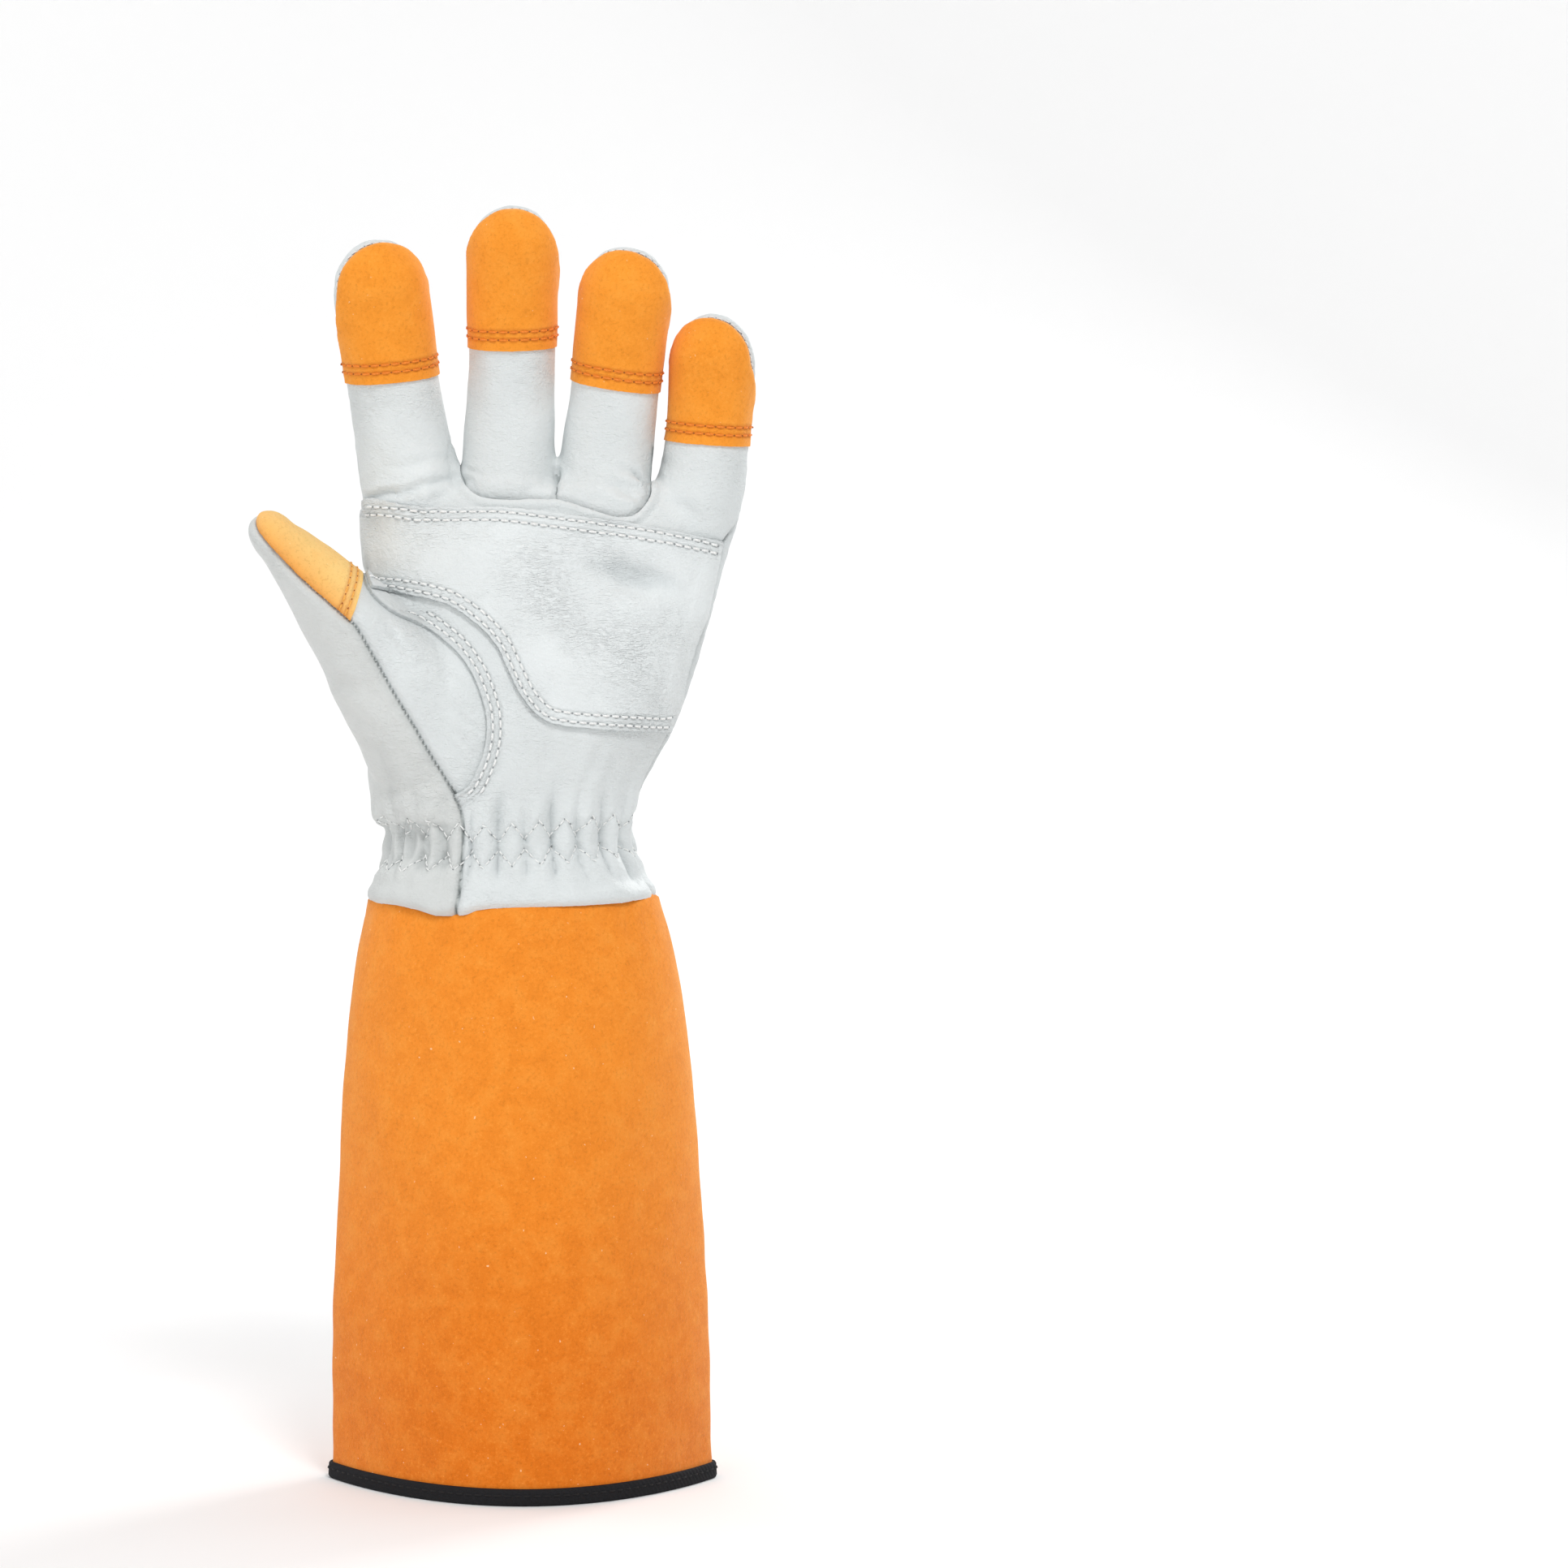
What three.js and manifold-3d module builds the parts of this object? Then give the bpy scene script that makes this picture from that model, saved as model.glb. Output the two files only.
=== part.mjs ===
// A long rose pruning gauntlet for the left hand, filled out as on a hand and standing upright.
// Millimetres, +Z up, +X towards the little finger, -Y out of the palm.
// The origin is the middle of the cuff's mouth, where the forearm goes in.
import * as THREE from "three";
import { mergeVertices } from "three/addons/utils/BufferGeometryUtils.js";
import Module from "manifold-3d";

const wasm = await Module();
wasm.setup();

// Walls and gaps
const LEATHER = 1.3;
const CAP_PROUD = 0.5;
const CUFF_WALL = 1.8;
const SEAM_GAP = 0.3;

// The suede cuff, from its hem to the white band that covers its top
const CUFF_LENGTH = 175.5;
const CUFF_TUCK = 7;
const HEM_WIDTH = 116.6;
const HEM_DEPTH = 81;
const CUFF_TOP_WIDTH = 88.4;
const CUFF_TOP_DEPTH = 56;
const HEM_BINDING_HEIGHT = 5;
const HEM_BINDING_WALL = 0.9;

// The white leather between the cuff and the fingers
const BAND_LENGTH = 20.5;
const BAND_WIDTH = 87.6;
const BAND_DEPTH = 56;
const BAND_SHIFT = -2.8;
const BAND_SAG = 3;
const WAIST_WIDTH = 74.6;
const WAIST_DEPTH = 45;
const WAIST_SHIFT = -4.7;
const PALM_LENGTH = 104;
const PALM_DEPTH = 42;
const KNUCKLE_WIDTH = 114.8;
const KNUCKLE_SHIFT = 8.6;
const GATHER_PLEATS = 24;
const GATHER_DEPTH = 0.9;
const GATHER_HEIGHT = 19;

// The thumb's root, in the heel of the palm
const THUMB = {
  side: -25.8,
  forward: 9,
  rise: 27,
  length: 87,
  width: 35,
  depth: 27,
  leanRoot: -32,
  leanTip: -45,
  curlRoot: 8,
  curlTip: 18,
  tip: 10,
  capLength: 40,
  capTilt: -30,
};

// The badge on the back of the cuff
const BADGE_WIDTH = 42;
const BADGE_HEIGHT = 16;
const BADGE_CORNER = 3.6;
const BADGE_THICK = 1.5;
const BADGE_RIM = 1.5;
const BADGE_RIM_RISE = 0.5;
const BADGE_SIDE = 2.5;
const BADGE_RISE = 33;

// How finely round things are faceted
const BODY_SIDES = 72;
const LINING_SIDES = 28;
const FINGER_SIDES = 14;
const CUFF_SIDES = 32;

// Sections of the cuff: height and size as shares of the way from the hem to the top
const CUFF_ROWS = [
  { at: 0.0, widen: 0.0, deepen: 0.0, lens: 1.08 },
  { at: 0.22, widen: 0.07, deepen: 0.05, lens: 1.13 },
  { at: 0.5, widen: 0.2, deepen: 0.2, lens: 1.23 },
  { at: 0.76, widen: 0.46, deepen: 0.46, lens: 1.42 },
  { at: 0.89, widen: 0.69, deepen: 0.7, lens: 1.62 },
  { at: 1.0, widen: 1.0, deepen: 1.0, lens: 1.8 },
];

// Sections of the hand: rise above the waist as a share of the palm's length, or below it of the
// band's; widen and slide go from the waist to the knuckles, or from the waist to the band's edge
const PALM_ROWS = [
  { at: 0.0, widen: 0.0, slide: 0.0, front: 1.06, back: 1.02 },
  { at: 0.07, widen: 0.13, slide: -0.04, front: 1.08, back: 1.0 },
  { at: 0.15, widen: 0.25, slide: 0.0, front: 1.12, back: 0.98 },
  { at: 0.29, widen: 0.42, slide: 0.32, front: 1.16, back: 0.94 },
  { at: 0.5, widen: 0.57, slide: 0.66, front: 1.08, back: 0.9 },
  { at: 0.74, widen: 0.81, slide: 0.85, front: 0.93, back: 0.8 },
  { at: 0.93, widen: 0.96, slide: 0.97, front: 0.7, back: 0.66 },
  { at: 1.0, widen: 0.97, slide: 1.0, front: 0.5, back: 0.5 },
];
const BAND_ROWS = [
  { at: 0.0, widen: 0.0, deepen: 0.0 },
  { at: 0.25, widen: 0.07, deepen: 0.05 },
  { at: 0.5, widen: 0.34, deepen: 0.3 },
  { at: 1.0, widen: 1.0, deepen: 1.0 },
];

// Rises and hollows of the palm and the back: place as shares of the half width and palm length
const SWELLS = [
  { side: "front", across: -0.72, rise: 0.36, wide: 0.36, tall: 0.2, out: 3.2 },
  { side: "front", across: 0.5, rise: 0.34, wide: 0.34, tall: 0.2, out: 1.6 },
  { side: "front", across: 0.1, rise: 0.62, wide: 0.36, tall: 0.2, out: -2.6 },
  { side: "front", across: 0.48, rise: 0.73, wide: 0.16, tall: 0.06, out: -1.2 },
  { side: "back", across: 0.3, rise: 0.7, wide: 0.3, tall: 0.12, out: -1.2 },
  { side: "back", across: -0.2, rise: 0.45, wide: 0.4, tall: 0.25, out: 1.2 },
];

// The fingers. side is a share of the half width at the knuckles; the two seams are where the
// back strip starts and ends, as angles round the finger from the little finger's side to the back
const FINGERS = [
  {
    name: "index", side: -0.739, drop: 0, length: 76, width: 29.6, depth: 25,
    leanRoot: -11, leanTip: -6, curlRoot: 2, curlTip: 26, tip: 17, capLength: 42, capTilt: 3,
    seam: [58, 178], tipSeam: [15, 196],
  },
  {
    name: "middle", side: -0.232, drop: 0, length: 85, width: 28.0, depth: 25,
    leanRoot: 2.5, leanTip: 0.5, curlRoot: 1, curlTip: 24, tip: 16, capLength: 42, capTilt: -2,
    seam: [34, 124], tipSeam: [-2, 176],
  },
  {
    name: "ring", side: 0.27, drop: 0, length: 73.5, width: 28.4, depth: 25,
    leanRoot: 8.5, leanTip: 4.5, curlRoot: 2, curlTip: 26, tip: 16, capLength: 42, capTilt: 2,
    seam: [34, 122], tipSeam: [-8, 170],
  },
  {
    name: "little", side: 0.79, drop: 0, length: 53, width: 26.6, depth: 24,
    leanRoot: 9, leanTip: 1, curlRoot: 2, curlTip: 24, tip: 16, capLength: 39, capTilt: -2,
    seam: [-8, 116], tipSeam: [-22, 160],
  },
];
const FINGER_ROWS = [
  { at: -0.42, width: 0.84, depth: 0.86 },
  { at: -0.1, width: 0.99, depth: 1.04 },
  { at: 0.2, width: 0.985, depth: 1.0 },
  { at: 0.5, width: 0.95, depth: 0.92 },
  { at: 0.76, width: 0.99, depth: 0.92 },
  { at: 1.0, width: 1.0, depth: 0.86 },
];
const THUMB_ROWS = [
  { at: -0.2, width: 0.92, depth: 1.0 },
  { at: 0.0, width: 1.22, depth: 1.08 },
  { at: 0.25, width: 1.11, depth: 1.06 },
  { at: 0.5, width: 0.88, depth: 1.0 },
  { at: 0.75, width: 0.65, depth: 0.9 },
  { at: 1.0, width: 0.38, depth: 0.7 },
];
const THUMB_SEAM = [52, 200];
const TIP_STEPS = [0.5, 0.82, 0.97];
const TIP_ROUNDNESS = 2.05;

// Lines seen from the front: across is a share of the half width at the knuckles from their
// middle, and rise a share of the palm's length above the waist
const RADIAL_SEAM = [
  { across: -1.6, rise: 0.93 },
  { across: -1.51, rise: 0.865 },
  { across: -1.474, rise: 0.829 },
  { across: -1.382, rise: 0.774 },
  { across: -1.27, rise: 0.712 },
  { across: -1.141, rise: 0.652 },
  { across: -0.991, rise: 0.579 },
  { across: -0.89, rise: 0.475 },
  { across: -0.779, rise: 0.369 },
  { across: -0.638, rise: 0.234 },
  { across: -0.503, rise: 0.106 },
  { across: -0.458, rise: 0.03 },
  { across: -0.453, rise: -0.026 },
  { across: -0.474, rise: -0.15 },
  { across: -0.505, rise: -0.27 },
];
const THUMB_ARC = [
  { across: -0.503, rise: 0.106 },
  { across: -0.42, rise: 0.145 },
  { across: -0.36, rise: 0.19 },
  { across: -0.335, rise: 0.27 },
  { across: -0.34, rise: 0.34 },
  { across: -0.38, rise: 0.42 },
  { across: -0.44, rise: 0.49 },
  { across: -0.53, rise: 0.555 },
  { across: -0.64, rise: 0.6 },
  { across: -0.76, rise: 0.63 },
  { across: -0.9, rise: 0.66 },
  { across: -0.97, rise: 0.7 },
];
const THUMB_BACK_SEAM = [
  { across: -0.93, rise: 0.68 },
  { across: -0.95, rise: 0.55 },
  { across: -0.92, rise: 0.4 },
  { across: -0.87, rise: 0.26 },
  { across: -0.83, rise: 0.12 },
  { across: -0.82, rise: -0.26 },
];
const FINGER_SEAM = [
  { across: -0.5, rise: 1.08 },
  { across: -0.46, rise: 1.02 },
  { across: -0.41, rise: 0.975 },
  { across: -0.3, rise: 0.955 },
  { across: -0.1, rise: 0.965 },
  { across: 0.06, rise: 0.965 },
  { across: 0.22, rise: 0.93 },
  { across: 0.37, rise: 0.895 },
  { across: 0.47, rise: 0.91 },
  { across: 0.53, rise: 0.96 },
  { across: 0.54, rise: 1.02 },
  { across: 0.54, rise: 1.08 },
];
const PATCH_TOP = [
  { across: -1.05, rise: 0.945 },
  { across: -0.95, rise: 0.942 },
  { across: -0.76, rise: 0.925 },
  { across: -0.52, rise: 0.91 },
  { across: -0.28, rise: 0.91 },
  { across: -0.05, rise: 0.9 },
  { across: 0.22, rise: 0.88 },
  { across: 0.42, rise: 0.86 },
  { across: 0.62, rise: 0.84 },
  { across: 0.86, rise: 0.82 },
];
const PATCH_BOTTOM = [
  { across: 0.66, rise: 0.3 },
  { across: 0.62, rise: 0.285 },
  { across: 0.44, rise: 0.282 },
  { across: 0.13, rise: 0.288 },
  { across: 0.02, rise: 0.3 },
  { across: -0.055, rise: 0.33 },
  { across: -0.125, rise: 0.39 },
  { across: -0.18, rise: 0.46 },
  { across: -0.24, rise: 0.525 },
  { across: -0.31, rise: 0.58 },
  { across: -0.41, rise: 0.63 },
  { across: -0.53, rise: 0.662 },
  { across: -0.67, rise: 0.678 },
  { across: -0.85, rise: 0.688 },
  { across: -1.05, rise: 0.7 },
];
const SIDE_SEAM_LEFT_DEPTH = 1;
const SIDE_SEAM_RIGHT_DEPTH = -5;

// Worked out from the sizes above
const BAND_Z = CUFF_LENGTH;
const WAIST_Z = BAND_Z + BAND_LENGTH;
const KNUCKLE_Z = WAIST_Z + PALM_LENGTH;
const FAR = 4 * KNUCKLE_WIDTH;

const radians = THREE.MathUtils.degToRad;
const mix = THREE.MathUtils.lerp;
const signedPower = (value, power) => Math.sign(value) * Math.abs(value) ** power;

// The value of a table's column at a place, on a smooth curve through its rows
function column(rows, key, at) {
  const last = rows.length - 1;
  if (at <= rows[0].at) return rows[0][key];
  if (at >= rows[last].at) return rows[last][key];
  const i = rows.findIndex((row, k) => k < last && at <= rows[k + 1].at);
  const slope = (k) => {
    const a = rows[Math.max(k - 1, 0)];
    const b = rows[Math.min(k + 1, last)];
    return (b[key] - a[key]) / (b.at - a.at);
  };
  const span = rows[i + 1].at - rows[i].at;
  const t = (at - rows[i].at) / span;
  const rise = t * t * (3 - 2 * t);
  const leave = t * (1 - t) ** 2 * span * slope(i);
  const arrive = t * t * (1 - t) * span * slope(i + 1);
  return mix(rows[i][key], rows[i + 1][key], rise) + leave - arrive;
}

// Solids
function solidOf(geometry) {
  const bare = new THREE.BufferGeometry();
  bare.setAttribute("position", geometry.getAttribute("position").clone());
  bare.setIndex(geometry.index);
  const merged = mergeVertices(bare, 1e-4);
  const vertProperties = new Float32Array(merged.attributes.position.array);
  const triVerts = new Uint32Array(merged.index.array);
  const made = new wasm.Manifold(new wasm.Mesh({ numProp: 3, vertProperties, triVerts }));
  if (made.volume() >= 0) return made;
  for (let i = 0; i < triVerts.length; i += 3) {
    [triVerts[i], triVerts[i + 1]] = [triVerts[i + 1], triVerts[i]];
  }
  return new wasm.Manifold(new wasm.Mesh({ numProp: 3, vertProperties, triVerts }));
}

// A closed skin over rings that hold equally many points, with a fan over each end
function loft(rings) {
  const sides = rings[0].length;
  const ends = [rings[0], rings[rings.length - 1]].map((ring) =>
    ring.reduce((sum, p) => sum.add(p), new THREE.Vector3()).divideScalar(sides),
  );
  const points = [...rings.flat(), ...ends];
  const faces = [];
  const lastRing = (rings.length - 1) * sides;
  for (let i = 0; i < sides; i += 1) {
    const next = (i + 1) % sides;
    for (let r = 0; r < rings.length - 1; r += 1) {
      const low = r * sides;
      const high = low + sides;
      faces.push(low + i, low + next, high + next, low + i, high + next, high + i);
    }
    faces.push(points.length - 2, next, i);
    faces.push(points.length - 1, lastRing + i, lastRing + next);
  }
  const geometry = new THREE.BufferGeometry().setFromPoints(points);
  geometry.setIndex(faces);
  return solidOf(geometry);
}

// A ring of points: half is the half width, and square and lens bend the oval's sides
function oval(sides, frame, half, front, back, square, lens) {
  return Array.from({ length: sides }, (_, i) => {
    const turn = (2 * Math.PI * i) / sides;
    const x = half * signedPower(Math.cos(turn), 2 / square);
    const deep = Math.sin(turn) < 0 ? front : back;
    const y = deep * signedPower(Math.sin(turn), 2 / lens);
    return frame.centre
      .clone()
      .addScaledVector(frame.across, x)
      .addScaledVector(frame.deep, y);
  });
}

const level = (x, z) => ({
  centre: new THREE.Vector3(x, 0, z),
  across: new THREE.Vector3(1, 0, 0),
  deep: new THREE.Vector3(0, 1, 0),
});

// An outline seen from the front, swept along Y between two depths
function sweepOutline(outline, from, to) {
  const shape = new THREE.Shape(outline.map((p) => new THREE.Vector2(p.x, p.y)));
  const swept = new THREE.ExtrudeGeometry(shape, { depth: to - from, bevelEnabled: false });
  swept.rotateX(Math.PI / 2);
  swept.translate(0, to, 0);
  const flat = new THREE.BufferGeometry();
  flat.setAttribute("position", swept.getAttribute("position").clone());
  return solidOf(mergeVertices(flat, 1e-4));
}

// The cuff
function cuffSection(z) {
  const at = z / CUFF_LENGTH;
  const widen = column(CUFF_ROWS, "widen", at);
  const deepen = column(CUFF_ROWS, "deepen", at);
  return {
    shift: mix(0, BAND_SHIFT, widen),
    half: mix(HEM_WIDTH, CUFF_TOP_WIDTH, widen) / 2,
    deep: mix(HEM_DEPTH, CUFF_TOP_DEPTH, deepen) / 2,
    lens: column(CUFF_ROWS, "lens", at),
  };
}

function cuffRing(z, grow, sides) {
  const s = cuffSection(z);
  return oval(sides, level(s.shift, z), s.half + grow, s.deep + grow, s.deep + grow, 2, s.lens);
}

// The hand without its fingers, at a height
function handSection(z) {
  if (z < WAIST_Z) {
    const at = (WAIST_Z - z) / BAND_LENGTH;
    const widen = column(BAND_ROWS, "widen", at);
    const deep = mix(WAIST_DEPTH, BAND_DEPTH, column(BAND_ROWS, "deepen", at)) / 2;
    return {
      shift: mix(WAIST_SHIFT, BAND_SHIFT, widen),
      half: mix(WAIST_WIDTH, BAND_WIDTH, widen) / 2,
      front: deep * 1.02,
      back: deep * 0.98,
    };
  }
  const at = (z - WAIST_Z) / PALM_LENGTH;
  const widen = column(PALM_ROWS, "widen", at);
  const fade = THREE.MathUtils.smoothstep(at, 0, PALM_ROWS[2].at);
  return {
    shift: mix(WAIST_SHIFT, KNUCKLE_SHIFT, column(PALM_ROWS, "slide", at)),
    half: mix(WAIST_WIDTH, KNUCKLE_WIDTH, widen) / 2,
    front: mix(WAIST_DEPTH * 1.02, PALM_DEPTH * column(PALM_ROWS, "front", at), fade) / 2,
    back: mix(WAIST_DEPTH * 0.98, PALM_DEPTH * column(PALM_ROWS, "back", at), fade) / 2,
  };
}

// How far a swell lifts the hand's surface at a point
function swellAt(point, isFront, half, shift) {
  const rise = (point.z - WAIST_Z) / PALM_LENGTH;
  const across = (point.x - shift) / half;
  return SWELLS.filter((s) => (s.side === "front") === isFront).reduce((sum, s) => {
    const u = (across - s.across) / s.wide;
    const v = (rise - s.rise) / s.tall;
    return sum + s.out * Math.exp(-(u * u + v * v));
  }, 0);
}

function handRing(z, grow, sides, gathered) {
  const s = handSection(z);
  const ring = oval(sides, level(s.shift, z), s.half + grow, s.front + grow, s.back + grow, 2.3, 2);
  const inGather = Math.abs(z - WAIST_Z) / (GATHER_HEIGHT / 2);
  const pleat = gathered ? GATHER_DEPTH * Math.exp(-(inGather ** 4)) : 0;
  return ring.map((p, i) => {
    const turn = (2 * Math.PI * i) / sides;
    const isFront = Math.sin(turn) < 0;
    p.y += (isFront ? -1 : 1) * swellAt(p, isFront, s.half, s.shift);
    const out = new THREE.Vector3(Math.cos(turn) / s.half, Math.sin(turn) / s.front, 0).normalize();
    return p.addScaledVector(out, pleat * (Math.cos(GATHER_PLEATS * turn) + 0.5));
  });
}

// How far the band's lower edge sags at a point
function bandSag(p) {
  const u = (p.x - seenFromFront({ across: -0.48, rise: 0 }).x) / (BAND_WIDTH / 8);
  return p.y < 0 ? BAND_SAG * Math.exp(-u * u) : 0;
}

function handBody(grow, sides, gathered, openBelow) {
  const gatherSteps = [-0.9, -0.45, 0, 0.45, 0.9];
  const heights = [
    BAND_Z,
    ...BAND_ROWS.slice(2, 3).map((row) => WAIST_Z - row.at * BAND_LENGTH),
    ...gatherSteps.map((step) => WAIST_Z + (step * GATHER_HEIGHT) / 2),
    ...PALM_ROWS.slice(2).map((row) => WAIST_Z + row.at * PALM_LENGTH),
  ].sort((a, b) => a - b);
  const plain = heights.filter((z, i) => gathered || i % 2 === 0 || z > WAIST_Z + GATHER_HEIGHT);
  const rings = plain.map((z) => handRing(z, grow, sides, gathered));
  const edge = rings[0].map((p) => p.clone().setZ(BAND_Z - openBelow - SEAM_GAP - bandSag(p)));
  rings.unshift(edge);
  rings[rings.length - 1].forEach((p) => p.setZ(p.z + grow));
  return loft(rings);
}

// A finger's or thumb's frames, from inside the palm to its tip
function fingerLine(f, at) {
  const steps = 24;
  const straight = f.length - f.tip;
  const place = f.root.clone();
  const frameAt = (share) => {
    const bent = Math.max(share, 0);
    const lean = radians(mix(f.leanRoot, f.leanTip, bent));
    const curl = radians(mix(f.curlRoot, f.curlTip, bent));
    const up = new THREE.Vector3(Math.sin(lean), 0, Math.cos(lean));
    return {
      along: up.clone().multiplyScalar(Math.cos(curl)).add(new THREE.Vector3(0, -Math.sin(curl), 0)),
      across: new THREE.Vector3(Math.cos(lean), 0, -Math.sin(lean)),
      deep: new THREE.Vector3(0, Math.cos(curl), 0).addScaledVector(up, Math.sin(curl)),
    };
  };
  for (let i = 0; i < steps; i += 1) {
    place.addScaledVector(frameAt((at * (i + 0.5)) / steps).along, (at * straight) / steps);
  }
  return { centre: place, ...frameAt(at) };
}

function fingerRings(f, rows, grow, ringAt) {
  const straight = f.length - f.tip;
  const rings = rows.map((row) => {
    const frame = fingerLine(f, row.at);
    return ringAt(frame, (f.width / 2) * row.width + grow, (f.depth / 2) * row.depth + grow, row.at);
  });
  const last = rows[rows.length - 1];
  TIP_STEPS.forEach((step) => {
    const frame = fingerLine(f, 1 + (step * (f.tip + grow)) / straight);
    const shrink = (1 - step ** TIP_ROUNDNESS) ** (1 / TIP_ROUNDNESS);
    const half = ((f.width / 2) * last.width + grow) * shrink;
    rings.push(ringAt(frame, half, ((f.depth / 2) * last.depth + grow) * shrink, 1));
  });
  return rings;
}

function fingerTube(f, rows, grow, sides) {
  const ringAt = (frame, half, deep) => oval(sides, frame, half, deep, deep, 2.2, 2.1);
  return loft(fingerRings(f, rows, grow, ringAt));
}

// A slice of a finger between two angles that may spread towards the tip
function fingerSlice(f, rows, seam, tipSeam, widen) {
  const reach = 1.5;
  const arcSteps = 8;
  const ringAt = (frame, half, deep, at) => {
    const spread = THREE.MathUtils.smoothstep(at, 0.45, 1);
    const slack = radians((widen * 360) / (Math.PI * (f.width + f.depth)));
    const from = radians(mix(seam[0], tipSeam[0], spread)) - slack;
    const to = radians(mix(seam[1], tipSeam[1], spread)) + slack;
    const ring = [frame.centre.clone()];
    for (let i = 0; i <= arcSteps; i += 1) {
      const turn = mix(from, to, i / arcSteps);
      ring.push(
        frame.centre
          .clone()
          .addScaledVector(frame.across, reach * (f.width / 2) * Math.cos(turn))
          .addScaledVector(frame.deep, reach * (f.depth / 2) * Math.sin(turn)),
      );
    }
    return ring;
  };
  const beyond = { ...fingerLine(f, 1 + (f.tip + LEATHER + CAP_PROUD) / (f.length - f.tip)) };
  const rings = rows.map((row) => ringAt(fingerLine(f, row.at), 0, 0, row.at));
  rings.push(ringAt(beyond, 0, 0, 1));
  return loft(rings);
}

// All of a finger past a plane across it
function fingerBeyond(f, distanceFromTip, tilt, widen) {
  const frame = fingerLine(f, (f.length - distanceFromTip) / (f.length - f.tip));
  const block = new THREE.BoxGeometry(f.width * 1.5, f.depth * 2, distanceFromTip * 2.4);
  block.translate(0, 0, distanceFromTip * 1.2 - widen);
  block.rotateY(radians(tilt));
  const turn = new THREE.Matrix4().makeBasis(frame.across, frame.deep, frame.along);
  block.applyMatrix4(turn.setPosition(frame.centre));
  const flat = new THREE.BufferGeometry();
  flat.setAttribute("position", block.getAttribute("position").clone());
  flat.setIndex(block.index);
  return solidOf(flat);
}

// Fingers and thumb get their roots from the palm
const fingers = FINGERS.map((f) => ({
  ...f,
  root: new THREE.Vector3(KNUCKLE_SHIFT + (f.side * KNUCKLE_WIDTH) / 2, 0, KNUCKLE_Z - f.drop),
}));
const thumb = {
  ...THUMB,
  root: new THREE.Vector3(THUMB.side, -THUMB.forward, WAIST_Z + THUMB.rise),
};

function seenFromFront(p) {
  const x = KNUCKLE_SHIFT + (p.across * KNUCKLE_WIDTH) / 2;
  return new THREE.Vector2(x, WAIST_Z + p.rise * PALM_LENGTH);
}

// A line seen from the front, moved to its left as it runs by a distance
function line(points, offset = 0) {
  const flat = points.map(seenFromFront);
  return flat.map((p, i) => {
    const a = flat[Math.max(i - 1, 0)];
    const b = flat[Math.min(i + 1, flat.length - 1)];
    const run = b.clone().sub(a).normalize();
    return new THREE.Vector2(p.x - run.y * offset, p.y + run.x * offset);
  });
}

const corner = (x, z) => new THREE.Vector2(x, z);
const union = (solids) => solids.reduce((a, b) => a.add(b));

// The hand's outer form and its hollow
const whole = (grow, sides) =>
  union([
    handBody(grow, sides, true, 0),
    ...fingers.map((f) => fingerTube(f, FINGER_ROWS, grow, FINGER_SIDES)),
    fingerTube(thumb, THUMB_ROWS, grow, FINGER_SIDES),
  ]);
const outerForm = whole(0, BODY_SIDES);
const hollow = union([
  handBody(-LEATHER, LINING_SIDES, false, 2 * BAND_SAG),
  ...fingers.map((f) => fingerTube(f, FINGER_ROWS, -LEATHER, FINGER_SIDES - 4)),
  fingerTube(thumb, THUMB_ROWS, -LEATHER, FINGER_SIDES - 4),
]);
const shell = outerForm.subtract(hollow);

// Regions of the hand: each is cut with a little widening to leave the seam's gap
function thumbFrontRegion(widen) {
  const seam = line(RADIAL_SEAM.slice(0, 10), -widen);
  const arc = line(THUMB_ARC, -widen);
  const crotch = seenFromFront({ across: -0.98, rise: 0.98 });
  const onPalm = sweepOutline([...arc, crotch, ...seam], -FAR, 0);
  return onPalm.subtract(fingerSlice(thumb, THUMB_ROWS, THUMB_SEAM, THUMB_SEAM, -widen));
}

function thumbBackRegion(widen) {
  const front = line(RADIAL_SEAM, widen);
  const back = line(THUMB_BACK_SEAM, widen);
  const leftOf = (points) => [
    ...points,
    corner(-FAR, points[points.length - 1].y),
    corner(-FAR, points[0].y),
  ];
  const ahead = sweepOutline(leftOf(front), -FAR, SIDE_SEAM_LEFT_DEPTH);
  const behind = sweepOutline(leftOf(back), SIDE_SEAM_LEFT_DEPTH - 1, FAR);
  const besideHand = sweepOutline(leftOf([corner(back[0].x, FAR), ...back]), -FAR, FAR);
  const onThumb = fingerSlice(thumb, THUMB_ROWS.slice(2), THUMB_SEAM, THUMB_SEAM, widen);
  return union([ahead, behind, onThumb.intersect(besideHand)]);
}

function backRegion(widen) {
  const top = KNUCKLE_Z - 2;
  const half = KNUCKLE_WIDTH;
  const block = loft(
    [BAND_Z - 2 * BAND_SAG, top].map((z) => [
      new THREE.Vector3(half, SIDE_SEAM_RIGHT_DEPTH - widen, z),
      new THREE.Vector3(half, FAR, z),
      new THREE.Vector3(-half, FAR, z),
      new THREE.Vector3(-half, SIDE_SEAM_LEFT_DEPTH - widen, z),
    ]),
  );
  const slices = fingers.map((f) =>
    fingerSlice(f, FINGER_ROWS.slice(1), f.seam, f.tipSeam, widen),
  );
  return union([block, ...slices]);
}

function betweenFingersRegion(widen) {
  const seam = line(FINGER_SEAM, -widen);
  const left = seam[0];
  const right = seam[seam.length - 1];
  const column = [...seam, corner(right.x, FAR), corner(left.x, FAR)];
  const tubes = fingers
    .slice(1, 3)
    .map((f) => fingerTube(f, FINGER_ROWS.slice(2), widen, FINGER_SIDES));
  return sweepOutline(column, -FAR, FAR).add(union(tubes));
}

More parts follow.
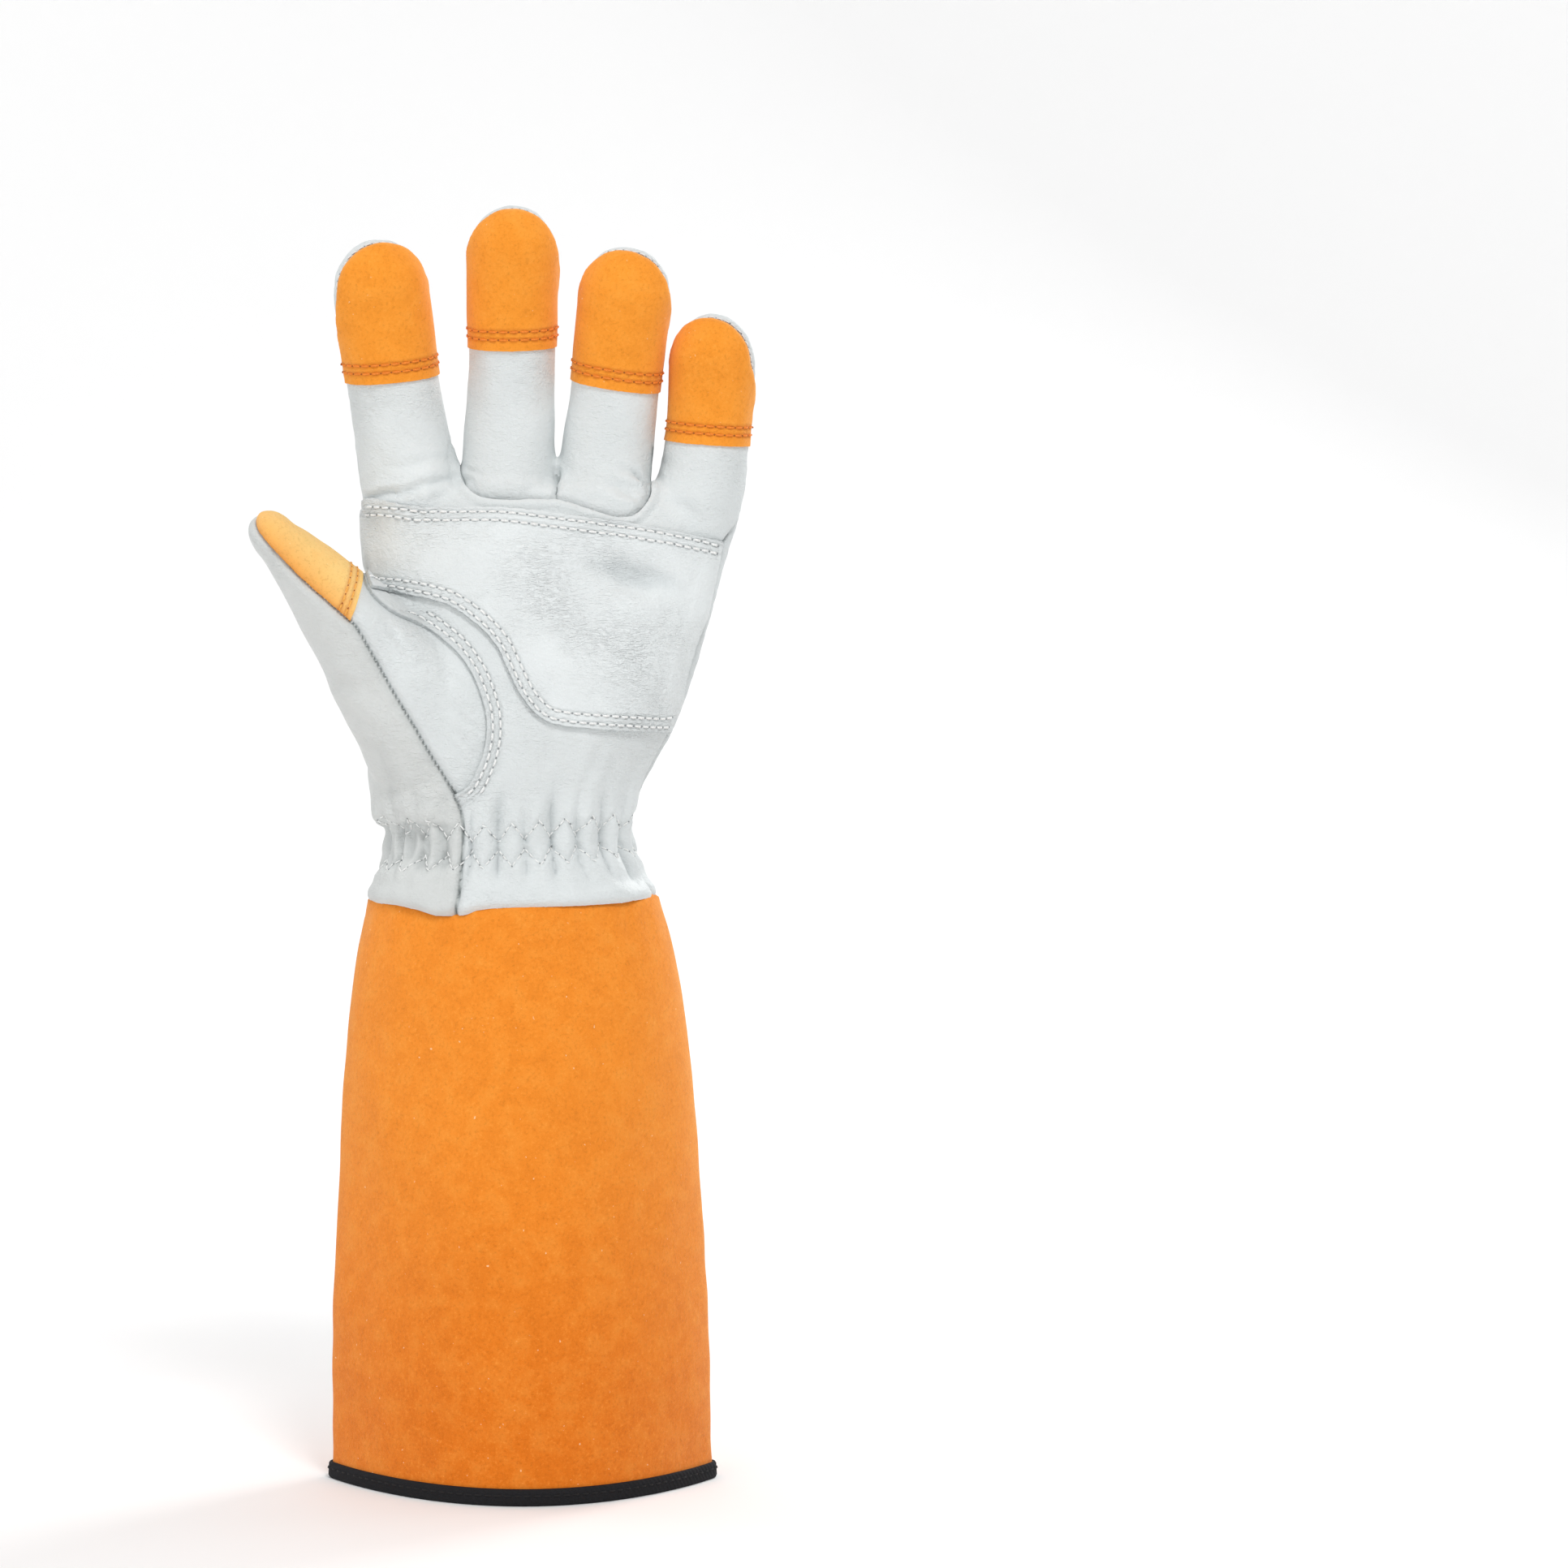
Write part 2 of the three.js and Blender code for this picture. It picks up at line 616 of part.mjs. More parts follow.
const material = (color, roughness, metalness = 0) =>
  new THREE.MeshStandardMaterial({ color, roughness, metalness });
const whiteLeather = material(0xe4e8e8, 0.55);
const orangeSuede = material(0xf08a22, 0.95);
const blackBinding = material(0x161616, 0.8);
const blackRubber = material(0x1b1c1e, 0.5);

const gauntlet = new THREE.Group();

function addPiece(name, solid, finish) {
  const mesh = solid.getMesh();
  const positions = new Float32Array(mesh.numVert * 3);
  for (let i = 0; i < mesh.numVert; i += 1) {
    const start = i * mesh.numProp;
    positions.set(mesh.vertProperties.subarray(start, start + 3), i * 3);
  }
  const geometry = new THREE.BufferGeometry();
  geometry.setAttribute("position", new THREE.BufferAttribute(positions, 3));
  geometry.setIndex(new THREE.BufferAttribute(new Uint32Array(mesh.triVerts), 1));
  const piece = new THREE.Mesh(geometry, finish);
  piece.name = name;
  gauntlet.add(piece);
}

// The largest body of a solid, without slivers that a cut leaves beside it
function mainBody(solid) {
  return solid.decompose().reduce((a, b) => (b.volume() > a.volume() ? b : a));
}

// The hand's panels
const spaceFor = (region) => region(0).add(region(SEAM_GAP));
const thumbFrontSpace = spaceFor(thumbFrontRegion);
const thumbBackSpace = spaceFor(thumbBackRegion);
const backSpace = spaceFor(backRegion);
const thumbFront = shell.intersect(thumbFrontRegion(0));
const thumbBack = shell.intersect(thumbBackRegion(0)).subtract(thumbFrontSpace);
const backPanel = shell
  .intersect(backRegion(0))
  .subtract(thumbBackSpace)
  .subtract(thumbFrontSpace);
const palmSide = shell
  .subtract(backSpace)
  .subtract(thumbBackSpace)
  .subtract(thumbFrontSpace);

// Suede caps stand a little proud of the leather and end at a straight edge round the finger
const proudForm = whole(CAP_PROUD, BODY_SIDES).subtract(hollow);
const capRegion = (f, widen) =>
  fingerTube(f, FINGER_ROWS, 2 * CAP_PROUD, FINGER_SIDES).intersect(
    fingerBeyond(f, f.capLength, f.capTilt, widen),
  );
const capOf = (f) => proudForm.intersect(capRegion(f, 0)).subtract(backSpace);
const cutForCaps = union(fingers.map((f) => capRegion(f, SEAM_GAP)));
const thumbCapCut = (widen) => fingerBeyond(thumb, thumb.capLength, thumb.capTilt, widen);

const uncapped = palmSide.subtract(cutForCaps);
const slit = new THREE.BoxGeometry(SEAM_GAP, FAR, PALM_LENGTH / 2);
slit.deleteAttribute("uv");
slit.deleteAttribute("normal");
slit.translate(seenFromFront({ across: 0.026, rise: 0 }).x, 0, KNUCKLE_Z);
const middleFronts = uncapped
  .intersect(betweenFingersRegion(0))
  .subtract(solidOf(slit))
  .decompose();
const frontOf = (f) =>
  middleFronts.reduce((a, b) => {
    const distance = (s) => {
      const box = s.boundingBox();
      return Math.abs((box.min[0] + box.max[0]) / 2 - f.root.x) - Math.cbrt(s.volume());
    };
    return distance(b) < distance(a) ? b : a;
  });

addPiece("back_panel", mainBody(backPanel), whiteLeather);
addPiece("thumb_back", mainBody(thumbBack), whiteLeather);
addPiece("palm_panel", mainBody(uncapped.subtract(spaceFor(betweenFingersRegion))), whiteLeather);
addPiece("middle_finger_front", frontOf(fingers[1]), whiteLeather);
addPiece("ring_finger_front", frontOf(fingers[2]), whiteLeather);
addPiece("thumb_front", mainBody(thumbFront.subtract(thumbCapCut(SEAM_GAP))), whiteLeather);
fingers.forEach((f) => addPiece(`${f.name}_tip_cap`, mainBody(capOf(f)), orangeSuede));
const thumbCap = proudForm
  .intersect(thumbCapCut(0))
  .intersect(thumbFrontRegion(0))
  .subtract(backSpace)
  .subtract(thumbBackSpace);
addPiece("thumb_tip_cap", mainBody(thumbCap), orangeSuede);

// The palm's reinforcing patch lies on the palm panel
const patchOutline = [...line(PATCH_TOP), ...line(PATCH_BOTTOM)].reverse();
const patchForm = union([
  handBody(SEAM_GAP + LEATHER, LINING_SIDES, false, 0),
  ...fingers.map((f) => fingerTube(f, FINGER_ROWS.slice(0, 4), SEAM_GAP + LEATHER, FINGER_SIDES)),
]);
const patch = patchForm
  .subtract(union([
    handBody(SEAM_GAP, LINING_SIDES, false, 0),
    ...fingers.map((f) => fingerTube(f, FINGER_ROWS, SEAM_GAP, FINGER_SIDES)),
    fingerTube(thumb, THUMB_ROWS, SEAM_GAP + LEATHER, FINGER_SIDES),
  ]))
  .subtract(outerForm)
  .intersect(sweepOutline(patchOutline, -FAR, SIDE_SEAM_RIGHT_DEPTH));
addPiece("palm_patch", mainBody(patch), whiteLeather);

// The cuff, its bound hem and its badge
const cuffBottom = HEM_BINDING_WALL + SEAM_GAP;
const cuffHeights = [cuffBottom, ...CUFF_ROWS.slice(1).map((row) => row.at * CUFF_LENGTH)];
function cuffForm(grow, from, to) {
  const rings = cuffHeights.map((z) => cuffRing(z, grow, CUFF_SIDES));
  const tuckGrow = grow - LEATHER - 2 * SEAM_GAP;
  const under = handRing(BAND_Z, tuckGrow, CUFF_SIDES, false);
  [rings[rings.length - 1], under].forEach((ring, i) =>
    ring.forEach((p) => p.setZ(BAND_Z - bandSag(p) - (4 - i) * SEAM_GAP)),
  );
  const tuck = [0, 0.5, 1].map((share) =>
    handRing(BAND_Z + share * CUFF_TUCK, tuckGrow, CUFF_SIDES, false),
  );
  const form = [...rings, under, ...tuck];
  if (from < cuffBottom) form.unshift(cuffRing(0, grow, CUFF_SIDES).map((p) => p.setZ(from)));
  const top = form[form.length - 1];
  if (to > top[0].z) form.push(top.map((p) => p.clone().setZ(to)));
  return loft(form);
}
const cuff = cuffForm(0, cuffBottom, 0).subtract(cuffForm(-CUFF_WALL, -1, 2 * BAND_Z));
addPiece("gauntlet_cuff", cuff, orangeSuede);

const hemBand = (grow, from, to) => loft([from, to].map((z) => cuffRing(z, grow, CUFF_SIDES)));
const bindingSlack = SEAM_GAP + HEM_BINDING_WALL;
const hemBinding = hemBand(bindingSlack, 0, HEM_BINDING_HEIGHT)
  .subtract(hemBand(-CUFF_WALL - bindingSlack, -1, HEM_BINDING_HEIGHT + 1))
  .subtract(
    hemBand(SEAM_GAP, HEM_BINDING_WALL, HEM_BINDING_HEIGHT + 1).subtract(
      hemBand(-CUFF_WALL - SEAM_GAP, 0, HEM_BINDING_HEIGHT + 2),
    ),
  );
addPiece("hem_binding", hemBinding, blackBinding);

function badgeOutline(inset) {
  const w = BADGE_WIDTH / 2 - inset;
  const h = BADGE_HEIGHT / 2 - inset;
  const r = BADGE_CORNER - inset;
  const turns = [0, 0.5, 1].map((share) => (share * Math.PI) / 2);
  const corners = [[1, 1, 0], [-1, 1, 1], [-1, -1, 2], [1, -1, 3]];
  return corners.flatMap(([sx, sz, quarter]) =>
    turns.map((turn) => {
      const a = turn + (quarter * Math.PI) / 2;
      const x = BADGE_SIDE + sx * (w - r) + r * Math.cos(a);
      return corner(x, BADGE_RISE + sz * (h - r) + r * Math.sin(a));
    }),
  );
}
const badgeHeights = [BADGE_RISE - BADGE_HEIGHT, BADGE_RISE + BADGE_HEIGHT];
const badgeForm = (grow) => loft(badgeHeights.map((z) => cuffRing(z, grow, CUFF_SIDES)));
const badgeTop = SEAM_GAP + BADGE_THICK;
const badgeBase = badgeForm(badgeTop).subtract(badgeForm(SEAM_GAP));
const badgeRim = badgeForm(badgeTop + BADGE_RIM_RISE).subtract(badgeForm(badgeTop - 0.5));
const rimOutline = sweepOutline(badgeOutline(0), 0, FAR).subtract(
  sweepOutline(badgeOutline(BADGE_RIM), 0, FAR),
);
const badge = badgeBase
  .intersect(sweepOutline(badgeOutline(0), 0, FAR))
  .add(badgeRim.intersect(rimOutline));
addPiece("badge", mainBody(badge), blackRubber);

export default gauntlet;
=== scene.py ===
import math

import bmesh
import bpy
import numpy as np
from bpy.props import FloatProperty, FloatVectorProperty, IntProperty, PointerProperty
from bpy.types import Operator, Panel, PropertyGroup
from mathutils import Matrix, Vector, noise
from mathutils.bvhtree import BVHTree


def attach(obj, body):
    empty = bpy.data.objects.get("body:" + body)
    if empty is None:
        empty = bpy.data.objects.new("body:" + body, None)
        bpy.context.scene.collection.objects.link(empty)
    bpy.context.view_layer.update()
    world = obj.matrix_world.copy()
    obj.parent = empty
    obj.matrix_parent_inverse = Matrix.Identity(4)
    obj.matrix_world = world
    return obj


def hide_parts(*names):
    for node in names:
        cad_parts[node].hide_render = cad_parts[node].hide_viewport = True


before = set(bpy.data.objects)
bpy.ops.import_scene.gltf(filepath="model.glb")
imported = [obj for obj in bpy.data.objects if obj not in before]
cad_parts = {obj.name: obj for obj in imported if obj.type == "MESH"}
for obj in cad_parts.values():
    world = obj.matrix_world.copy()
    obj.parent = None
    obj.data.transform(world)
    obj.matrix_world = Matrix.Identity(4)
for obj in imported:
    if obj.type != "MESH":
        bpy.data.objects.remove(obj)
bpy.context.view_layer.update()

bl_info = {
    "name": "Rose pruning gauntlet",
    "version": (1, 0, 0),
    "blender": (4, 5, 0),
    "location": "View3D > Sidebar > Gauntlet",
    "description": "Dresses the solid model of a long gardening glove in leather and suede",
    "category": "Object",
}

# Shapes are worked out in millimetres, in the frame of the solid model, and made in metres
MM = 0.001
FAR = 500.0

# The cuff, hem to band
CUFF_LENGTH = 175.5
CUFF_TUCK = 6.0
HEM_WIDTH = 116.6
HEM_DEPTH = 81.0
CUFF_TOP_WIDTH = 88.4
CUFF_TOP_DEPTH = 56.0
HEM_BINDING_HEIGHT = 5.0

# The leather between the cuff and the fingers
BAND_Z = CUFF_LENGTH
BAND_LENGTH = 20.5
BAND_WIDTH = 87.6
BAND_DEPTH = 56.0
BAND_SHIFT = -2.8
WAIST_Z = BAND_Z + BAND_LENGTH
WAIST_WIDTH = 74.6
WAIST_DEPTH = 45.0
WAIST_SHIFT = -4.7
PALM_LENGTH = 104.0
PALM_DEPTH = 42.0
KNUCKLE_Z = WAIST_Z + PALM_LENGTH
KNUCKLE_WIDTH = 114.8
KNUCKLE_SHIFT = 8.6

CUFF_ROWS = [
    {"at": 0.0, "widen": 0.0, "deepen": 0.0, "lens": 1.08},
    {"at": 0.22, "widen": 0.07, "deepen": 0.05, "lens": 1.13},
    {"at": 0.5, "widen": 0.2, "deepen": 0.2, "lens": 1.23},
    {"at": 0.76, "widen": 0.46, "deepen": 0.46, "lens": 1.42},
    {"at": 0.89, "widen": 0.69, "deepen": 0.7, "lens": 1.62},
    {"at": 1.0, "widen": 1.0, "deepen": 1.0, "lens": 1.8},
]
PALM_ROWS = [
    {"at": 0.0, "widen": 0.0, "slide": 0.0, "front": 1.06, "back": 1.02},
    {"at": 0.07, "widen": 0.13, "slide": -0.04, "front": 1.08, "back": 1.0},
    {"at": 0.15, "widen": 0.25, "slide": 0.0, "front": 1.12, "back": 0.98},
    {"at": 0.29, "widen": 0.42, "slide": 0.32, "front": 1.16, "back": 0.94},
    {"at": 0.5, "widen": 0.57, "slide": 0.66, "front": 1.08, "back": 0.9},
    {"at": 0.74, "widen": 0.81, "slide": 0.85, "front": 0.93, "back": 0.8},
    {"at": 0.93, "widen": 0.96, "slide": 0.97, "front": 0.7, "back": 0.66},
    {"at": 1.0, "widen": 0.97, "slide": 1.0, "front": 0.5, "back": 0.5},
]
BAND_ROWS = [
    {"at": 0.0, "widen": 0.0, "deepen": 0.0},
    {"at": 0.25, "widen": 0.07, "deepen": 0.05},
    {"at": 0.5, "widen": 0.34, "deepen": 0.3},
    {"at": 1.0, "widen": 1.0, "deepen": 1.0},
]
SWELLS = [
    {"side": -1, "across": -0.72, "rise": 0.36, "wide": 0.36, "tall": 0.2, "out": 3.2},
    {"side": -1, "across": 0.5, "rise": 0.34, "wide": 0.34, "tall": 0.2, "out": 1.6},
    {"side": -1, "across": 0.1, "rise": 0.62, "wide": 0.36, "tall": 0.2, "out": -2.6},
    {"side": -1, "across": 0.48, "rise": 0.73, "wide": 0.16, "tall": 0.06, "out": -1.2},
    {"side": 1, "across": 0.3, "rise": 0.7, "wide": 0.3, "tall": 0.12, "out": -1.2},
    {"side": 1, "across": -0.2, "rise": 0.45, "wide": 0.4, "tall": 0.25, "out": 1.2},
]

# Fingers: sizes in millimetres, turns in degrees. The seams are where the back strip starts and
# ends round the finger, counted from the little finger's side towards the back
FINGER_COLUMNS = (
    "name", "side", "length", "width", "depth", "lean_root", "lean_tip", "curl_root", "curl_tip",
    "tip", "cap_length", "cap_tilt", "seam_from", "seam_to", "tip_seam_from", "tip_seam_to",
)
FINGERS = [dict(zip(FINGER_COLUMNS, row)) for row in (
    ("index", -0.739, 76.0, 29.6, 25.0, -11.0, -6.0, 2.0, 26.0, 17.0, 42.0, 3.0, 58.0, 178.0, 15.0, 196.0),
    ("middle", -0.232, 85.0, 28.0, 25.0, 2.5, 0.5, 1.0, 24.0, 16.0, 42.0, -2.0, 34.0, 124.0, -2.0, 176.0),
    ("ring", 0.27, 73.5, 28.4, 25.0, 8.5, 4.5, 2.0, 26.0, 16.0, 42.0, 2.0, 34.0, 122.0, -8.0, 170.0),
    ("little", 0.79, 53.0, 26.6, 24.0, 9.0, 1.0, 2.0, 24.0, 16.0, 39.0, -2.0, 5.0, 116.0, -22.0, 160.0),
)]
for finger in FINGERS:
    finger["root"] = np.array([KNUCKLE_SHIFT + finger["side"] * KNUCKLE_WIDTH / 2, 0.0, KNUCKLE_Z])
THUMB = dict(zip(FINGER_COLUMNS, (
    "thumb", 0.0, 87.0, 35.0, 27.0, -32.0, -45.0, 8.0, 18.0, 10.0, 40.0, -30.0, 52.0, 200.0, 52.0, 200.0,
)))
THUMB["root"] = np.array([-25.8, -9.0, WAIST_Z + 27.0])
FINGER_ROWS = [
    {"at": -0.42, "width": 0.84, "depth": 0.86},
    {"at": -0.1, "width": 0.99, "depth": 1.04},
    {"at": 0.2, "width": 0.985, "depth": 1.0},
    {"at": 0.5, "width": 0.935, "depth": 0.92},
    {"at": 0.76, "width": 0.945, "depth": 0.9},
    {"at": 1.0, "width": 0.955, "depth": 0.84},
]
THUMB_ROWS = [
    {"at": -0.2, "width": 0.92, "depth": 1.0},
    {"at": 0.0, "width": 1.22, "depth": 1.08},
    {"at": 0.25, "width": 1.11, "depth": 1.06},
    {"at": 0.5, "width": 0.88, "depth": 1.0},
    {"at": 0.75, "width": 0.65, "depth": 0.9},
    {"at": 1.0, "width": 0.38, "depth": 0.7},
]
TIP_ROUNDNESS = 2.1

# Lines as they show from the front, as x and z in millimetres
THUMB_SEAM = [
    (-79.6, 300.0), (-78.6, 287.6), (-76.0, 282.5), (-70.9, 276.8), (-64.8, 270.5), (-57.5, 264.2),
    (-50.8, 258.3), (-48.4, 255.6), (-44.4, 248.5), (-40.0, 240.5), (-36.0, 233.5), (-31.8, 226.5),
    (-27.8, 219.5), (-23.4, 212.0), (-20.5, 206.9), (-18.6, 202.5), (-17.8, 198.5), (-17.6, 193.2),
    (-18.0, 187.9), (-18.7, 180.3), (-19.9, 171.6), (-20.5, 160.0),
]
THUMB_ARC = [
    (-20.5, 206.9), (-17.4, 208.8), (-15.2, 211.0), (-13.5, 214.6), (-12.0, 218.5), (-10.8, 224.2),
    (-10.7, 229.1), (-11.5, 233.8), (-13.8, 240.5), (-16.4, 245.4), (-19.8, 249.8), (-24.0, 253.6),
    (-28.0, 256.5), (-32.0, 258.6), (-36.5, 260.5), (-41.5, 263.5), (-45.5, 268.0), (-47.5, 273.0),
]
THUMB_TOP_CORNERS = [(-52.0, 284.0), (-60.0, 300.0)]
THUMB_BACK_SEAM = [
    (-46.5, 268.5), (-46.5, 259.0), (-45.5, 248.0), (-43.5, 236.0), (-41.0, 223.0), (-39.0, 210.0),
    (-38.0, 196.0), (-39.0, 180.0), (-40.0, 160.0),
]
LIP = [
    (-19.4, 312.0), (-18.7, 304.5), (-17.6, 300.5), (-15.2, 297.8), (-11.7, 296.0), (-4.1, 295.1),
    (3.0, 295.2), (9.0, 295.0), (14.1, 294.2), (20.9, 291.9), (26.7, 290.2), (30.1, 289.8),
    (33.5, 290.7), (36.5, 293.5), (38.2, 296.5), (38.8, 299.6), (39.4, 312.0),
]
PATCH_OUTLINE = [
    (-47.6, 296.2), (-40.0, 295.2), (-33.6, 294.0), (-27.7, 293.2), (-18.0, 292.9), (-7.5, 292.8),
    (3.0, 291.8), (13.6, 290.4), (26.0, 288.8), (37.9, 287.0), (47.0, 285.6), (54.6, 284.4),
    (60.2, 283.3), (59.0, 277.2), (56.6, 269.2), (55.0, 262.2), (52.4, 255.6), (50.0, 248.0),
    (47.8, 239.6), (46.4, 231.0), (44.6, 226.6), (41.0, 225.9), (32.0, 226.1), (24.5, 226.3),
    (15.8, 226.8), (9.8, 227.6), (7.0, 228.5), (4.0, 230.6), (1.2, 233.6), (-1.7, 238.0),
    (-4.6, 244.0), (-7.7, 250.6), (-10.9, 254.7), (-14.5, 258.0), (-18.6, 261.2), (-23.0, 263.7),
    (-27.6, 265.1), (-31.5, 266.0), (-36.7, 267.0), (-41.3, 267.6), (-47.0, 269.0), (-50.0, 282.0),
]
BAND_EDGE = [
    (-46.5, 174.7), (-38.1, 174.2), (-31.4, 172.9), (-26.2, 171.3), (-20.0, 171.2), (-16.5, 171.7),
    (-13.9, 172.9), (-8.9, 173.6), (4.1, 174.0), (17.1, 174.3), (30.0, 175.0), (36.7, 176.0),
    (44.0, 176.2),
]
BAND_EDGE_BEHIND = 175.3
SLIT_X = 10.15

# How deep the seam between palm and back lies at the little finger's side, at the foot of that finger,
# at the index side, and between the fingers
ULNAR_SEAM_DEPTH = -5.5
LITTLE_FINGER_SEAM_DEPTH = 1.5
RADIAL_SEAM_DEPTH = 1.0
CROTCH_SEAM_DEPTH = 6.5
SEAM_CORNER = 5.0
THUMB_REACH = 21.5
CROTCHES = [(-18.2, -2.0, 303.0), (10.2, -2.0, 300.0), (38.8, -2.0, 300.0), (-46.0, -14.0, 266.0)]

# The wrist's gathers: where one stands across the front, and how far the zigzag swings up and down
PUCKER_CROWN = 4.8
ZIGZAG_SWING = 2.6

# Two rows of stitches each, by their distance from the edge they follow
CAP_ROWS = (3.3, 5.7)
THUMB_CAP_ROWS = (1.9, 4.1)
PATCH_ROWS = (1.7, 4.2)
ARC_ROWS = (1.8, 4.1)

# Stretches of a row that are shorter than this get no stitches
SHORTEST_ROW = 6.0

# A seam or a row leaves neither groove nor painted shade past this distance, a raw edge gets painted shade as
# if a seam lay a little further off, and the suede caps stand out over the leather beside them
CLEAR = 9.0
EDGE_SHADE_OFFSET = 0.42
CAP_RISE = 0.55


# Small helpers for numbers

def column(rows, key, at):
    """A table's column at a place, on a smooth curve through its rows."""
    last = len(rows) - 1
    if at <= rows[0]["at"]:
        return rows[0][key]
    if at >= rows[last]["at"]:
        return rows[last][key]
    i = next(k for k in range(last) if at <= rows[k + 1]["at"])

    def slope(k):
        a = rows[max(k - 1, 0)]
        b = rows[min(k + 1, last)]
        return (b[key] - a[key]) / (b["at"] - a["at"])

    span = rows[i + 1]["at"] - rows[i]["at"]
    t = (at - rows[i]["at"]) / span
    rise = t * t * (3 - 2 * t)
    leave = t * (1 - t) ** 2 * span * slope(i)
    arrive = t * t * (1 - t) * span * slope(i + 1)
    return rows[i][key] * (1 - rise) + rows[i + 1][key] * rise + leave - arrive


def mix(a, b, t):
    return a + (b - a) * t


def smoothstep(low, high, value):
    t = np.clip((value - low) / (high - low), 0.0, 1.0)
    return t * t * (3 - 2 * t)


def bell(value, width):
    return np.exp(-(value / width) ** 2)


def signed_power(value, power):
    return np.sign(value) * np.abs(value) ** power


def smooth_line(points, steps=6):
    """More points on a smooth curve through the given ones."""
    pts = np.array(points, dtype=float)
    padded = np.vstack([2 * pts[0] - pts[1], pts, 2 * pts[-1] - pts[-2]])
    out = []
    for i in range(1, len(padded) - 2):
        p0, p1, p2, p3 = padded[i - 1:i + 3]
        for t in np.arange(steps) / steps:
            out.append(0.5 * (2 * p1 + (p2 - p0) * t + (2 * p0 - 5 * p1 + 4 * p2 - p3) * t ** 2
                              + (3 * p1 - p0 - 3 * p2 + p3) * t ** 3))
    out.append(pts[-1])
    return np.array(out)


def line_distance(points, line):
    """Distance to an open line in the plane, positive on the left of its run."""
    best = np.full(len(points), np.inf)
    side = np.ones(len(points))
    for a, b in zip(line[:-1], line[1:]):
        run = b - a
        t = np.clip(((points - a) @ run) / (run @ run), 0.0, 1.0)
        away = points - (a + t[:, None] * run)
        distance = np.hypot(away[:, 0], away[:, 1])
        closer = distance < best - 1e-9
        cross = run[0] * away[:, 1] - run[1] * away[:, 0]
        best = np.where(closer, distance, best)
        side = np.where(closer, np.where(cross >= 0, 1.0, -1.0), side)
    return best * side


def outline_distance(points, outline):
    """Distance to a closed outline in the plane, positive inside."""
    closed = np.vstack([outline, outline[:1]])
    distance = np.abs(line_distance(points, closed))
    inside = np.zeros(len(points), dtype=bool)
    for (x0, y0), (x1, y1) in zip(closed[:-1], closed[1:]):
        if y0 == y1:
            continue
        crosses = (points[:, 1] < y0) != (points[:, 1] < y1)
        x = x0 + (points[:, 1] - y0) * (x1 - x0) / (y1 - y0)
        inside ^= crosses & (points[:, 0] < x)
    return np.where(inside, distance, -distance)


def noise_at(points, scale, seed=0.0, stretch=(1.0, 1.0, 1.0)):
    """Smooth noise from -1 to 1 with a feature size in millimetres."""
    shifted = points * (np.array(stretch) / scale) + seed
    return np.array([noise.noise(Vector(p)) for p in shifted])


# Sections of the glove

def hand_section(z):
    if z < WAIST_Z:
        at = (WAIST_Z - z) / BAND_LENGTH
        widen = column(BAND_ROWS, "widen", at)
        deep = mix(WAIST_DEPTH, BAND_DEPTH, column(BAND_ROWS, "deepen", at)) / 2
        return {
            "shift": mix(WAIST_SHIFT, BAND_SHIFT, widen),
            "half": mix(WAIST_WIDTH, BAND_WIDTH, widen) / 2,
            "front": deep * 1.02,
            "back": deep * 0.98,
        }
    at = (z - WAIST_Z) / PALM_LENGTH
    fade = float(smoothstep(0.0, PALM_ROWS[2]["at"], at))
    front = PALM_DEPTH * column(PALM_ROWS, "front", at)
    back = PALM_DEPTH * column(PALM_ROWS, "back", at)
    return {
        "shift": mix(WAIST_SHIFT, KNUCKLE_SHIFT, column(PALM_ROWS, "slide", at)),
        "half": mix(WAIST_WIDTH, KNUCKLE_WIDTH, column(PALM_ROWS, "widen", at)) / 2,
        "front": mix(WAIST_DEPTH * 1.02, front, fade) / 2,
        "back": mix(WAIST_DEPTH * 0.98, back, fade) / 2,
    }


def cuff_section(z):
    at = z / CUFF_LENGTH
    widen = column(CUFF_ROWS, "widen", at)
    deepen = column(CUFF_ROWS, "deepen", at)
    return {
        "shift": mix(0.0, BAND_SHIFT, widen),
        "half": mix(HEM_WIDTH, CUFF_TOP_WIDTH, widen) / 2,
        "deep": mix(HEM_DEPTH, CUFF_TOP_DEPTH, deepen) / 2,
        "lens": column(CUFF_ROWS, "lens", at),
    }


def oval(turn, half, front, back, square, lens):
    """Across and deep places of points round an oval."""
    x = half * signed_power(np.cos(turn), 2 / square)
    deep = np.where(np.sin(turn) < 0, front, back)
    return x, deep * signed_power(np.sin(turn), 2 / lens)


def hand_ring(z, sides):
    s = hand_section(z)
    turn = np.arange(sides) * 2 * math.pi / sides
    x, y = oval(turn, s["half"], s["front"], s["back"], 2.3, 2.0)
    rise = (z - WAIST_Z) / PALM_LENGTH
    for swell in SWELLS:
        u = (x / s["half"] - swell["across"]) / swell["wide"]
        v = (rise - swell["rise"]) / swell["tall"]
        on_side = np.sign(np.sin(turn)) == swell["side"]
        y = y + on_side * swell["side"] * swell["out"] * np.exp(-(u * u + v * v))
    return np.column_stack([x + s["shift"], y, np.full(sides, z)])


